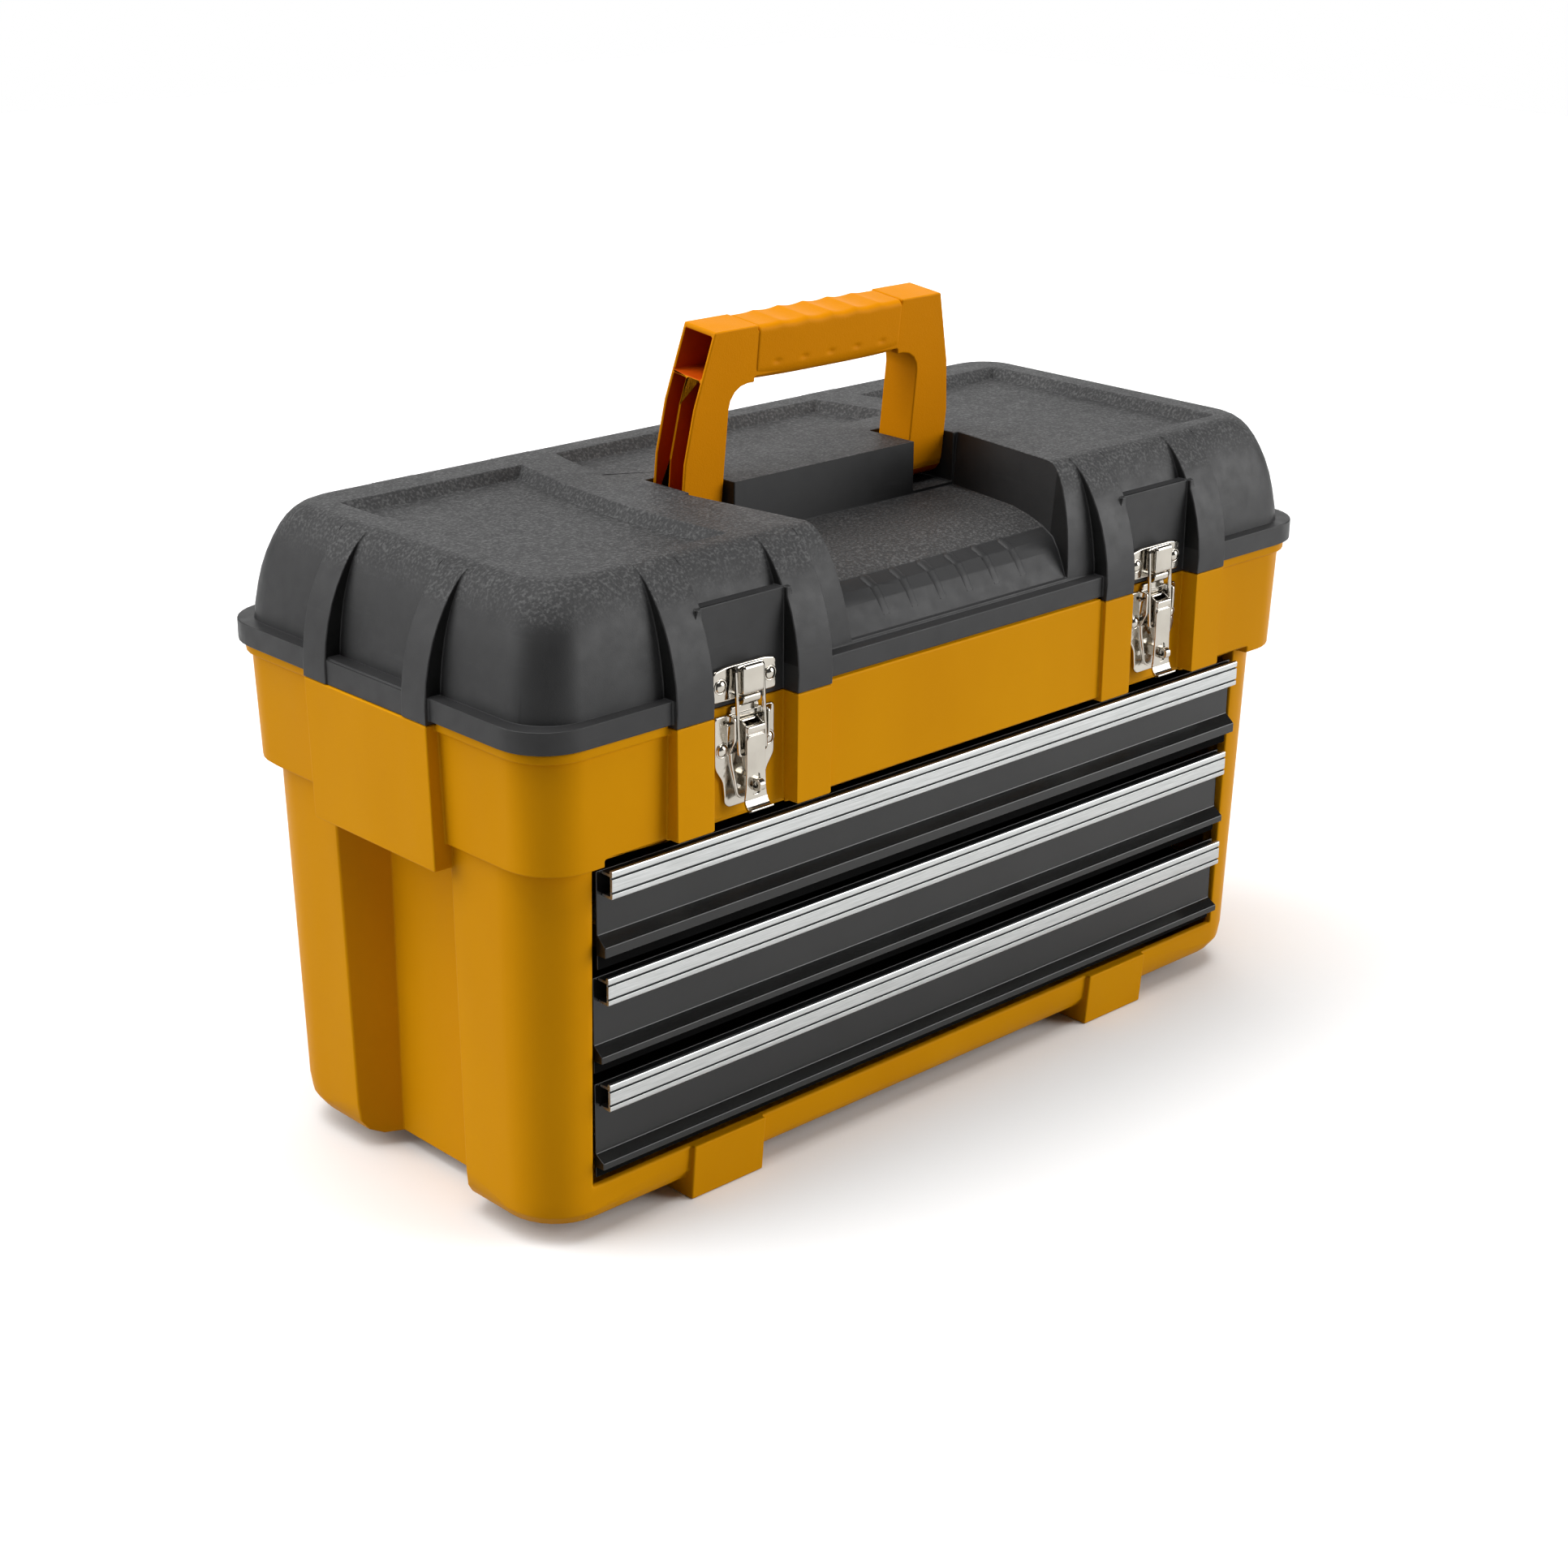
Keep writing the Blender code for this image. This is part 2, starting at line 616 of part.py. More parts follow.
def build_lid(empty):
    lid = piece("lid_shell", tower(DOME, CORNER_RADIUS - 0.002), BLACK_PLASTIC, (0, *HINGE_AXIS), empty)
    flange = [(z, *FLANGE_HALF) for z in FLANGE_Z]
    join(lid, "flange", tower(flange, CORNER_RADIUS))
    for label, face, pad_y, _ in FACES:
        join(lid, f"{label}_pads", *[
            block(signed((0.122, 0.183), side), signed((0.095, RECESS_Y + 0.002), face), (LID_Z, PAD_TOP_Z))
            for _, side in SIDES
        ])
        join(lid, f"{label}_pilasters", *[lid_pilaster(x, face, pad_y) for x in pilaster_ranges()])
    join(lid, "end_ribs", *[end_rib(side, end) for side, end in four_corners()])
    sills = [
        block(signed((0.260, GRIP_X[1] - 0.001), side), (-0.040, 0.040), (LID_Z, 0.2785)) for _, side in SIDES
    ]
    join(lid, "sills", *sills)
    recesses = [
        block(recess_range(side), signed((RECESS_Y, 0.150), face), (0.255, PAD_TOP_Z + 0.0005))
        for side, face in four_corners()
    ]
    cut(lid, "recesses", *recesses)
    core = well_core()
    cavity = cut(lid, "cavity", tower(LID_CAVITY, CORNER_RADIUS - WALL))
    keep = cavity.modifiers.new("keep_well", "BOOLEAN")
    keep.operation = "DIFFERENCE"
    keep.object = core
    cut(lid, "well", well_cutter())
    slot_y = (SLOT_FRONT_Y, SLOT_BACK_Y)
    slots = [
        block(signed((BLOCK_HALF_X, WELL_HALF_X), side), slot_y, (SLOT_FLOOR_Z, ABOVE_LID))
        for _, side in SIDES
    ]
    cut(lid, "leg_slots", *slots)
    cut(lid, "end_panels", *[panel_cutter(end_panel_outline, side) for _, side in SIDES])
    cut(lid, "mid_panel", panel_cutter(mid_panel_outline, 1))
    hole_radius = HANDLE_PIN_RADIUS + GAP
    pin_holes = [rod((side * HANDLE_PIN_X, *HANDLE_AXIS), hole_radius, 0.008) for _, side in SIDES]
    cut(lid, "pin_holes", *pin_holes)
    webs = [
        block(
            (side * LATCH_X - LID_KNUCKLE_HALF + GAP, side * LATCH_X + LID_KNUCKLE_HALF - GAP),
            (RECESS_Y - 0.002, HINGE_AXIS[0]),
            (LID_Z + GAP, 0.280),
        )
        for _, side in SIDES
    ]
    join(lid, "hinge_webs", *webs)
    join(lid, "hinge_barrels", *[
        rod((side * LATCH_X, *HINGE_AXIS), KNUCKLE_RADIUS, LID_KNUCKLE_HALF) for _, side in SIDES
    ])
    cut(lid, "hinge_bores", *hinge_bores())


def build_handle_pins(empty):
    for name, side in SIDES:
        centre = (side * HANDLE_PIN_X, *HANDLE_AXIS)
        piece(f"handle_pin_{name}", rod(centre, HANDLE_PIN_RADIUS, 0.0050), STEEL, centre, empty)


# Handle


def handle_point(x, y, z):
    """A point of the upright handle, in world coordinates before it leans."""
    return (x, HANDLE_AXIS[0] + y, HANDLE_AXIS[1] + z)


def handle_block(x, y, z):
    (x0, y0, z0), (x1, y1, z1) = handle_point(x[0], y[0], z[0]), handle_point(x[1], y[1], z[1])
    return block((x0, x1), (y0, y1), (z0, z1))


def length_along_x(edge):
    return abs(edge.verts[0].co.x - edge.verts[1].co.x)


def handle_outline():
    """The handle's right half seen from the front; the bar under the sleeve is thinner."""
    outer = list(HANDLE_OUTER)
    bar = [(GRIP_HALF_X, HANDLE_TOP), (GRIP_HALF_X, BAR_Z[1])]
    under = [(GRIP_HALF_X, BAR_Z[0]), (GRIP_HALF_X, 0.0640)]
    inner = arc((0.0565, 0.0520), 0.0120, 90, 0, 4)
    return outer + bar, under + inner + [(HANDLE_INNER_X, -0.0118)]


def build_handle(empty):
    upper, lower = handle_outline()
    outline = both_ways(upper) + [(-x, z) for x, z in reversed(lower)] + lower
    world = [(x, z + HANDLE_AXIS[1]) for x, z in outline]
    half = (HANDLE_AXIS[0] - HANDLE_HALF_Y, HANDLE_AXIS[0] + HANDLE_HALF_Y)
    bm = outline_solid([world], half, "XZ")
    bmesh.ops.recalc_face_normals(bm, faces=bm.faces)
    bottom = HANDLE_AXIS[1] - 0.0117
    rims = [
        edge
        for edge in bm.edges
        if all(v.co.z < bottom for v in edge.verts) and length_along_x(edge) > 0.01
    ]
    bmesh.ops.bevel(bm, geom=rims, offset=0.0110, segments=4, profile=0.5, affect="EDGES")
    origin = (0, *HANDLE_AXIS)
    frame = piece("handle_frame", bm, YELLOW, origin, empty)
    deep = HANDLE_HALF_Y - HANDLE_WALL
    leg_wall = HANDLE_INNER_X + 0.0030
    hollows = []
    for _, side in SIDES:
        hollows.append(handle_block(signed((0.062, 0.110), side), (-deep, deep), (SHELF_Z + 0.0015, 0.0912)))
        hollows.append(handle_block(signed((leg_wall, 0.110), side), (-deep, -0.0008), (-0.004, SHELF_Z)))
        hollows.append(handle_block(signed((leg_wall, 0.110), side), (0.0008, deep), (-0.004, SHELF_Z)))
    cut(frame, "hollows", *hollows)
    cut(frame, "pin_holes", *[
        rod((side * 0.070, *HANDLE_AXIS), HANDLE_PIN_RADIUS + GAP, 0.0075) for _, side in SIDES
    ])
    bm = handle_block((-GRIP_HALF_X + GAP, GRIP_HALF_X - GAP), (-0.0136, 0.0136), (0.0634, 0.0946))
    long_edges = [edge for edge in bm.edges if length_along_x(edge) > GRIP_HALF_X]
    bmesh.ops.bevel(bm, geom=long_edges, offset=0.0040, segments=3, profile=0.5, affect="EDGES")
    grip = piece("handle_grip", bm, YELLOW, origin, empty)
    tunnel_y = HANDLE_HALF_Y + GAP
    tunnel_z = (BAR_Z[0] - GAP, BAR_Z[1] + GAP)
    cut(grip, "tunnel", handle_block((-0.060, 0.060), (-tunnel_y, tunnel_y), tunnel_z))
    empty.rotation_euler = (HANDLE_LEAN, 0, 0)


# Drawers


def front_profile(top):
    """The dished steel front, from its top edge to the lip."""
    bottom = top - FRONT_HEIGHT
    face = [
        (FRONT_FACE_Y, top - 0.0015),
        (FRONT_FACE_Y, bottom + 0.0105),
        (LIP_Y, bottom + 0.0052),
        (LIP_Y, bottom),
    ]
    back = [
        (LIP_Y + SHEET, bottom),
        (LIP_Y + SHEET, bottom + 0.0046),
        (FRONT_FACE_Y + SHEET, bottom + 0.0099),
        (FRONT_FACE_Y + SHEET, top - 0.0015),
    ]
    return face + back


def front_cheek(side, bottom):
    """The folded side of the dish."""
    x = signed((FRONT_HALF_X - 0.0045, FRONT_HALF_X), side)
    return block(x, (LIP_Y + 0.001, FRONT_FACE_Y + 0.0005), (bottom + 0.003, bottom + FRONT_HEIGHT - 0.018))


def pull_profile(top):
    """An aluminium extrusion with two fine grooves, hooked over the front's top edge."""
    bottom = top - PULL_HEIGHT
    groove_y = PULL_Y + 0.0007
    face = [(PULL_Y + 0.0012, top), (PULL_Y, top - 0.0010)]
    for z in (top - 0.0036, bottom + 0.0030):
        face += [(PULL_Y, z + 0.0004), (groove_y, z + 0.0002), (groove_y, z - 0.0002), (PULL_Y, z - 0.0004)]
    face += [(PULL_Y, bottom + 0.0008), (PULL_Y + 0.0010, bottom)]
    back = [
        (FRONT_FACE_Y - GAP, bottom + 0.0012),
        (FRONT_FACE_Y - GAP, bottom + 0.0028),
        (PULL_Y + 0.0018, bottom + 0.0028),
        (PULL_Y + 0.0018, top - 0.0016),
        (FRONT_FACE_Y - GAP, top - 0.0016),
        (FRONT_FACE_Y - GAP, top),
    ]
    return face + back


def slide_profile(side, z):
    """The drawer's half of a slide: a plate with a tongue that runs in the channel."""
    plate = (PAN_HALF_X + GAP, PAN_HALF_X + 0.0018)
    points = [
        (plate[0], z - 0.008),
        (plate[1], z - 0.008),
        (plate[1], z - SLIDE_HALF_Z),
        (0.2385, z - SLIDE_HALF_Z),
        (0.2385, z + SLIDE_HALF_Z),
        (plate[1], z + SLIDE_HALF_Z),
        (plate[1], z + 0.008),
        (plate[0], z + 0.008),
    ]
    return [(side * x, height) for x, height in points]


def runner_profile(side, z):
    """The fixed channel, open towards the drawer."""
    wall = BAY_HALF_X - GAP
    near = SLIDE_HALF_Z + RUNNING_GAP
    far = near + 0.0025
    points = [
        (0.2300, z - far),
        (wall, z - far),
        (wall, z + far),
        (0.2300, z + far),
        (0.2300, z + near),
        (wall - 0.0025, z + near),
        (wall - 0.0025, z - near),
        (0.2300, z - near),
    ]
    return [(side * x, height) for x, height in points]


def build_drawer(number, top, ajar):
    name = f"drawer_{number}"
    bottom = top - FRONT_HEIGHT
    slide_z = bottom + 0.024
    empty = joint_empty(f"{name}_slide", (0, 0, slide_z))
    origin = (0, 0, slide_z)
    front = piece(
        f"{name}_front",
        outline_solid([front_profile(top)], (-FRONT_HALF_X, FRONT_HALF_X), "YZ"),
        BLACK_STEEL,
        origin,
        empty,
    )
    join(front, "cheeks", *[front_cheek(side, bottom) for _, side in SIDES])
    pan_y = (FRONT_FACE_Y + SHEET + GAP, PAN_BACK_Y)
    pan_z = (bottom + 0.0025, bottom + 0.0025 + PAN_HEIGHT)
    pan = piece(f"{name}_pan", block((-PAN_HALF_X, PAN_HALF_X), pan_y, pan_z), BLACK_STEEL, origin, empty)
    inside = block(
        (-PAN_HALF_X + SHEET, PAN_HALF_X - SHEET),
        (pan_y[0] + SHEET, pan_y[1] - SHEET),
        (pan_z[0] + SHEET, pan_z[1] + 0.010),
    )
    cut(pan, "inside", inside)
    pull = outline_solid([pull_profile(top)], (-PULL_HALF_X, PULL_HALF_X), "YZ")
    piece(f"{name}_pull", pull, ALUMINIUM, origin, empty)
    for label, side in SIDES:
        tongue = outline_solid([slide_profile(side, slide_z)], (-0.098, 0.092), "XZ")
        piece(f"{name}_slide_{label}", tongue, STEEL, origin, empty)
        channel = outline_solid([runner_profile(side, slide_z)], RUNNER_Y, "XZ")
        piece(f"runner_{number}_{label}", channel, STEEL, (side * BAY_HALF_X, 0, slide_z))
    empty.location.y -= ajar


# Latches


def latch_outline(x, half):
    return [(x + u, z) for u, z in both_ways(half)]


def plate_span(depth=0.0):
    """The y range of a plate riveted to the recess."""
    back = -RECESS_Y - GAP - depth
    return (back - PLATE_THICKNESS, back)


def build_latch_base(name, x):
    half = [(0.0125, 0.2145), (0.0140, 0.2280), (0.0195, 0.2360), (0.0195, 0.2625)]
    base = piece(f"latch_base_{name}", outline_solid([latch_outline(x, half)], plate_span(), "XZ"), NICKEL)
    ear_y = (-0.1292, plate_span()[0] + 0.0007)
    ears = [block(sorted((x + end * 0.0110, x + end * 0.0123)), ear_y, (0.2525, 0.2622)) for end in (-1, 1)]
    join(base, "ears", *ears)
    cut(base, "pin_holes", rod((x, *LATCH_AXIS), 0.0015, 0.020, segments=10))
    cut(base, "rivet_holes", *[
        rod((x + end * 0.0150, plate_span()[0], 0.2450), 0.0018, 0.004, "Y", 10) for end in (-1, 1)
    ])
    root_y = plate_span()[0] - GAP
    low, high = STAPLE_Z
    bend = 0.0012
    loop = [(root_y, low), (-0.1365, low), (-0.1372, low + bend)]
    loop += [(-0.1372, high - bend), (-0.1365, high), (root_y, high)]
    eye = [(-0.1338, low + bend), (-0.1360, low + bend), (-0.1360, high - bend), (-0.1338, high - bend)]
    staple = outline_solid([loop, eye], (x - 0.0014, x + 0.0014), "YZ")
    piece(f"padlock_staple_{name}", staple, NICKEL)


def build_keeper(name, x, empty):
    half = [(0.0204, 0.2690), (0.0204, 0.2855), (0.0120, 0.2865)]
    keeper = piece(
        f"keeper_{name}",
        outline_solid([latch_outline(x, half)], plate_span(), "XZ"),
        NICKEL,
        (x, plate_span()[0], 0.2775),
        empty,
    )
    front = -0.1310
    lip = -0.1295
    seat = BAIL_TOP[1] - WIRE_RADIUS - GAP
    profile = [
        (plate_span()[0] + 0.0005, 0.2700),
        (front + 0.0010, 0.2690),
        (front, 0.2700),
        (front, seat + 0.0005),
        (front + 0.0005, seat + 0.0010),
        (lip, seat + 0.0010),
        (lip + 0.0004, seat),
        (plate_span()[0] + 0.0005, seat),
    ]
    join(keeper, "boss", outline_solid([profile], (x - BOSS_HALF_U, x + BOSS_HALF_U), "YZ"))
    cut(keeper, "rivet_holes", *[
        rod((x + end * 0.0160, plate_span()[0], 0.2775), 0.0018, 0.004, "Y", 10) for end in (-1, 1)
    ])


def build_rivets(name, offset, z, empty=None):
    """The rivets that hold a pair of plates, each with a flared head and a shank into the wall."""
    head_y = plate_span()[0] - GAP - 0.0008
    for side_name, side in SIDES:
        for number, end in enumerate((-1, 1), 1):
            x = side * LATCH_X + end * offset
            head = bmesh.new()
            turn = Matrix.Rotation(pi / 2, 4, "X")
            bmesh.ops.create_cone(
                head, cap_ends=True, segments=10, radius1=0.0030, radius2=0.0016, depth=0.0016,
                matrix=Matrix.Translation((x, head_y, z)) @ turn,
            )
            made = piece(f"{name}_{side_name}_{number}", head, NICKEL, (x, -RECESS_Y, z), empty)
            join(made, "shank", rod((x, -RECESS_Y - 0.0012, z), 0.0015, 0.0011, "Y", 10))


def build_lever(name, x, empty):
    origin = (x, *LATCH_AXIS)
    half = [(0.0075, 0.2165), (0.0066, 0.2230), (LEVER_HALF_U, 0.2340), (LEVER_HALF_U, 0.2560)]
    span = (LEVER_FRONT_Y, LEVER_FRONT_Y + PLATE_THICKNESS)
    slot = [(x + 0.0024, 0.2215), (x + 0.0024, 0.2315), (x - 0.0024, 0.2315), (x - 0.0024, 0.2215)]
    lever = piece(
        f"latch_lever_{name}",
        outline_solid([latch_outline(x, half), slot], span, "XZ"),
        NICKEL,
        origin,
        empty,
    )
    y, z = LATCH_AXIS
    cheek_y = LEVER_FRONT_Y + 0.0005
    cheek = [(cheek_y, 0.2555), (cheek_y, 0.2350), (BAIL_AXIS[0] + 0.0022, 0.2395)]
    cheek += arc((y, z), 0.0019, -10, 140, 5)
    join(lever, "cheeks", *[
        outline_solid([cheek], sorted((x + end * 0.0049, x + end * 0.00598)), "YZ")
        for end in (-1, 1)
    ])
    tab_y = LEVER_FRONT_Y + 0.0010
    tab = [(tab_y, 0.2175), (tab_y, 0.2160), (-0.1345, 0.2140), (-0.1372, 0.2142)]
    tab += [(-0.1372, 0.2155), (-0.1350, 0.2156), (LEVER_FRONT_Y - 0.0002, 0.2175)]
    join(lever, "tab", outline_solid([tab], (x - 0.0073, x + 0.0073), "YZ"))
    rib_y = (LEVER_FRONT_Y - 0.0008, LEVER_FRONT_Y + 0.0005)
    rib_x = (x - 0.0052, x + 0.0052)
    join(lever, "ribs", *[block(rib_x, rib_y, (low, low + 0.0035)) for low in (0.2430, 0.2500)])
    cut(lever, "axis_hole", rod(origin, 0.0013, 0.010, segments=10))
    cut(lever, "bail_hole", rod((x, *BAIL_AXIS), WIRE_RADIUS + GAP, 0.010, segments=10))
    pin = rod(origin, 0.0010, 0.0138, segments=10)
    piece(f"latch_pin_{name}", pin, NICKEL, origin)


def build_bail(name, x, empty):
    """A wire loop from the lever up over the keeper's boss."""
    curve = bpy.data.curves.new(f"bail_{name}", "CURVE")
    curve.dimensions = "3D"
    curve.bevel_depth = WIRE_RADIUS
    curve.bevel_resolution = 2
    curve.use_fill_caps = True
    low, high, bend = Vector((0, *BAIL_AXIS)), Vector((0, *BAIL_TOP)), 0.0022
    up = (high - low).normalized()
    across = Vector((1, 0, 0))
    half = [low + across * 0.0040, low + across * (BAIL_HALF_U - bend)]
    for corner, along, after in ((low, across, up), (high, up, -across)):
        centre = corner + across * (BAIL_HALF_U - bend) + (up * bend if corner == low else -up * bend)
        turns = (radians(30), radians(60), pi / 2)
        half += [centre + along * bend * sin(turn) - after * bend * cos(turn) for turn in turns]
        if corner == low:
            half += [high + across * BAIL_HALF_U - up * bend]
    points = half + [Vector((-p.x, p.y, p.z)) for p in reversed(half)]
    spline = curve.splines.new("POLY")
    spline.points.add(len(points) - 1)
    for point, co in zip(spline.points, points):
        point.co = (*(co - low), 1)
    obj = bpy.data.objects.new("wire", curve)
    bpy.context.scene.collection.objects.link(obj)
    graph = bpy.context.evaluated_depsgraph_get()
    mesh = bpy.data.meshes.new_from_object(obj.evaluated_get(graph))
    bm = bmesh.new()
    bm.from_mesh(mesh)
    bmesh.ops.remove_doubles(bm, verts=bm.verts, dist=0.00001)
    bmesh.ops.translate(bm, verts=bm.verts, vec=(x, *BAIL_AXIS))
    bpy.data.objects.remove(obj)
    bpy.data.curves.remove(curve)
    bpy.data.meshes.remove(mesh)
    piece(f"latch_bail_{name}", bm, NICKEL, (x, *BAIL_AXIS), empty)


# Tray


def build_tray(empty):
    origin = (0, 0, TRAY_BOTTOM[0])
    tray = piece("tray_shell", tower((TRAY_BOTTOM, TRAY_TOP), 0.014, 3), GREY_PLASTIC, origin, empty)
    floor = (TRAY_BOTTOM[0] + TRAY_WALL, TRAY_BOTTOM[1] - TRAY_WALL, TRAY_BOTTOM[2] - TRAY_WALL)
    top = (TRAY_TOP[0] + 0.004, TRAY_TOP[1] - TRAY_WALL + 0.0006, TRAY_TOP[2] - TRAY_WALL + 0.0005)
    cut(tray, "inside", tower((floor, top), 0.012, 3))
    walls = [
        block((side * TRAY_BAR_X - 0.001, side * TRAY_BAR_X + 0.001), (-0.1085, 0.1085), (0.2170, 0.2480))
        for _, side in SIDES
    ]
    join(tray, "cross_walls", *walls)
    sockets = [
        block(signed((0.0602, 0.0660), side), (-0.0055, 0.0055), (0.2170, 0.2400)) for _, side in SIDES
    ]
    join(tray, "handle_sockets", *sockets)
    half_x, top_z = TRAY_HANDLE
    low = TRAY_BOTTOM[0] + TRAY_WALL + GAP
    outer = both_ways([(half_x - GAP, low), (half_x - GAP, top_z - 0.010), (half_x - 0.010, top_z)])
    hole = both_ways([(0.042, 0.2600), (0.046, 0.2640), (0.046, 0.2720), (0.042, 0.2760)])
    piece("tray_handle", outline_solid([outer, hole], (-0.003, 0.003), "XZ"), GREY_PLASTIC, origin, empty)


# Assembly

clear_scene()
PARTS = new_collection("toolbox_with_tray")
CUTTERS = new_collection("cutters")
YELLOW = material("yellow_plastic", (0.64, 0.29, 0.008), 0.45)
BLACK_PLASTIC = material("black_plastic", (0.035, 0.035, 0.036), 0.60)
GREY_PLASTIC = material("grey_plastic", (0.060, 0.060, 0.062), 0.55)
BLACK_STEEL = material("black_painted_steel", (0.012, 0.012, 0.013), 0.22)
ALUMINIUM = material("brushed_aluminium", (0.62, 0.63, 0.64), 0.35, 1.0)
STEEL = material("zinc_plated_steel", (0.45, 0.45, 0.47), 0.38, 1.0)
NICKEL = material("nickel_plated_steel", (0.66, 0.63, 0.58), 0.16, 1.0)

build_body()
build_hinge_pins()
for index, (top_edge, ajar_by) in enumerate(zip(DRAWER_TOPS, DRAWER_AJAR), 1):
    build_drawer(index, top_edge, ajar_by)

lid_axis = joint_empty("lid_axis", (0, *HINGE_AXIS))
build_lid(lid_axis)
build_handle_pins(lid_axis)
build_rivets("keeper_rivet", 0.0160, 0.2775, lid_axis)
handle_axis = joint_empty("handle_axis", (0, *HANDLE_AXIS), lid_axis)
build_handle(handle_axis)

build_rivets("base_rivet", 0.0150, 0.2450)
for side_name, sign in SIDES:
    latch_x = sign * LATCH_X
    build_latch_base(side_name, latch_x)
    build_keeper(side_name, latch_x, lid_axis)
    lever_axis = joint_empty(f"latch_axis_{side_name}", (latch_x, *LATCH_AXIS))
    build_lever(side_name, latch_x, lever_axis)
    bail_axis = joint_empty(f"bail_axis_{side_name}", (latch_x, *BAIL_AXIS), lever_axis)
    build_bail(side_name, latch_x, bail_axis)

tray_axis = joint_empty("tray_lift", (0, 0, TRAY_BOTTOM[0]))
build_tray(tray_axis)
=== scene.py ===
"""Looks for the toolbox: detailed pieces in place of the CAD nodes, materials, floor, light and camera."""

import json
from math import cos, exp, hypot, pi, radians, sin

import bmesh
import bpy
from mathutils import Matrix, Vector

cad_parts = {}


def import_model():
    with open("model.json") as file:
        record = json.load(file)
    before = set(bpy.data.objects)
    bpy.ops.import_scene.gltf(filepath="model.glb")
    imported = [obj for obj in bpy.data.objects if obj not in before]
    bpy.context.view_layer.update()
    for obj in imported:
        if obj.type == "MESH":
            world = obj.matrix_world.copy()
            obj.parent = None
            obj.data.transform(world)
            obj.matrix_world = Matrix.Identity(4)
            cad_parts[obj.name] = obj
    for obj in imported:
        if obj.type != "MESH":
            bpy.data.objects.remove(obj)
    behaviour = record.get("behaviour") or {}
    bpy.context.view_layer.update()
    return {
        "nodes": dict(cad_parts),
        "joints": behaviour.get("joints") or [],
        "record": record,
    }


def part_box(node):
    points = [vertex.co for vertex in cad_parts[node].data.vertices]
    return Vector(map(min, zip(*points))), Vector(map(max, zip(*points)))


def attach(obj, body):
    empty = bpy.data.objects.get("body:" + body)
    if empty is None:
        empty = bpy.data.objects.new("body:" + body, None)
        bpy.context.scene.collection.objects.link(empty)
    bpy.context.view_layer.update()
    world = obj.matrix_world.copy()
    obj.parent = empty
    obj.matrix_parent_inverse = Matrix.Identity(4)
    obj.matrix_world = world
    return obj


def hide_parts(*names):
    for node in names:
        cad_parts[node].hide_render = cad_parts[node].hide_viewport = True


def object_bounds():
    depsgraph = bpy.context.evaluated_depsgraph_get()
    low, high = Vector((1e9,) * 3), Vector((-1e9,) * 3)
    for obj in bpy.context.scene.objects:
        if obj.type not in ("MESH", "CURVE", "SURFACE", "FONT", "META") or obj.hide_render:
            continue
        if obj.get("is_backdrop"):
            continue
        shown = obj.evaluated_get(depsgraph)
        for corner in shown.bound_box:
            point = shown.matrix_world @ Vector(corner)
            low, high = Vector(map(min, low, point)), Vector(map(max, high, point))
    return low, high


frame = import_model()
NODES = frame["nodes"]
BODY_OF = {node: body for body, members in frame["record"]["behaviour"]["bodies"].items() for node in members}
SLOT_OF = {part["node"]: part["material_slot"] for part in frame["record"]["subparts"]}
HANDLE_AXIS = next(joint["pos_m"] for joint in frame["joints"] if joint["name"] == "handle_fold")
HANDLE_LEAN = radians(6)  # how far the handle leans forward at rest

# Mesh tolerances
WELD = 0.00002  # vertices closer than this are one
FLAT = radians(0.15)  # faces within this angle are one flat face
SHARP = radians(28)  # edges of a CAD mesh sharper than this are rounded
LATCH_SHARP = radians(35)  # the same for the latches' own solids

# Camera, solved from the box's own right angles
CAMERA_AT = (-0.99812, -1.04365, 0.69809)
CAMERA_RIGHT = Vector((0.72759, -0.68597, 0.00724))
CAMERA_UP = Vector((0.23835, 0.26268, 0.93498))
CAMERA_FORWARD = Vector((0.64327, 0.67856, -0.35463))
CAMERA_LENS = 63.38
CAMERA_SENSOR = 36


# Materials

MOST_NOISE = (0.3, 0.7)  # nearly all of a noise texture's values lie between these

# Where the lid's surfaces change; each pair is the start and end of a fade, in metres
LID_TOP = (0.3185, 0.3250)  # z
WELL_SIDES = (0.094, 0.096)  # distance from the middle in x
WELL_FRONT = (-0.1010, -0.1000)  # y
WELL_BOTTOM = (0.295, 0.297)  # z
PAD_ROOTS = (0.1060, 0.1080)  # distance from the middle in y
RIB_ROOTS = (0.2585, 0.2605)  # distance from the middle in x
RIB_BACKS = (0.056, 0.058)  # distance from the middle in y
FLANGE_TOP = (0.2797, 0.2803)  # z


def add(tree, kind, inputs=None, **settings):
    """A shader node with its settings, whose inputs are values or other nodes' outputs."""
    node = tree.nodes.new(kind)
    for key, value in settings.items():
        setattr(node, key, value)
    for key, value in (inputs or {}).items():
        if isinstance(value, bpy.types.NodeSocket):
            tree.links.new(value, node.inputs[key])
        else:
            node.inputs[key].default_value = value
    return node


def noise(tree, scale, detail=2.0, stretch=(1, 1, 1), roughness=0.5):
    """Noise in the piece's own coordinates; a stretch under 1 draws it out along that axis."""
    place = add(tree, "ShaderNodeTexCoord").outputs["Object"]
    stretched = add(tree, "ShaderNodeMapping", {"Vector": place, "Scale": stretch}).outputs["Vector"]
    values = {"Vector": stretched, "Scale": scale, "Detail": detail, "Roughness": roughness}
    return add(tree, "ShaderNodeTexNoise", values).outputs["Fac"]


def ramp(tree, factor, stops):
    """Colours blended by a value; stops are (position, colour)."""
    node = add(tree, "ShaderNodeValToRGB", {"Fac": factor})
    elements = node.color_ramp.elements
    while len(elements) < len(stops):
        elements.new(0.5)
    for element, (position, colour) in zip(elements, stops):
        element.position = position
        element.color = (*colour, 1)
    return node.outputs["Color"]


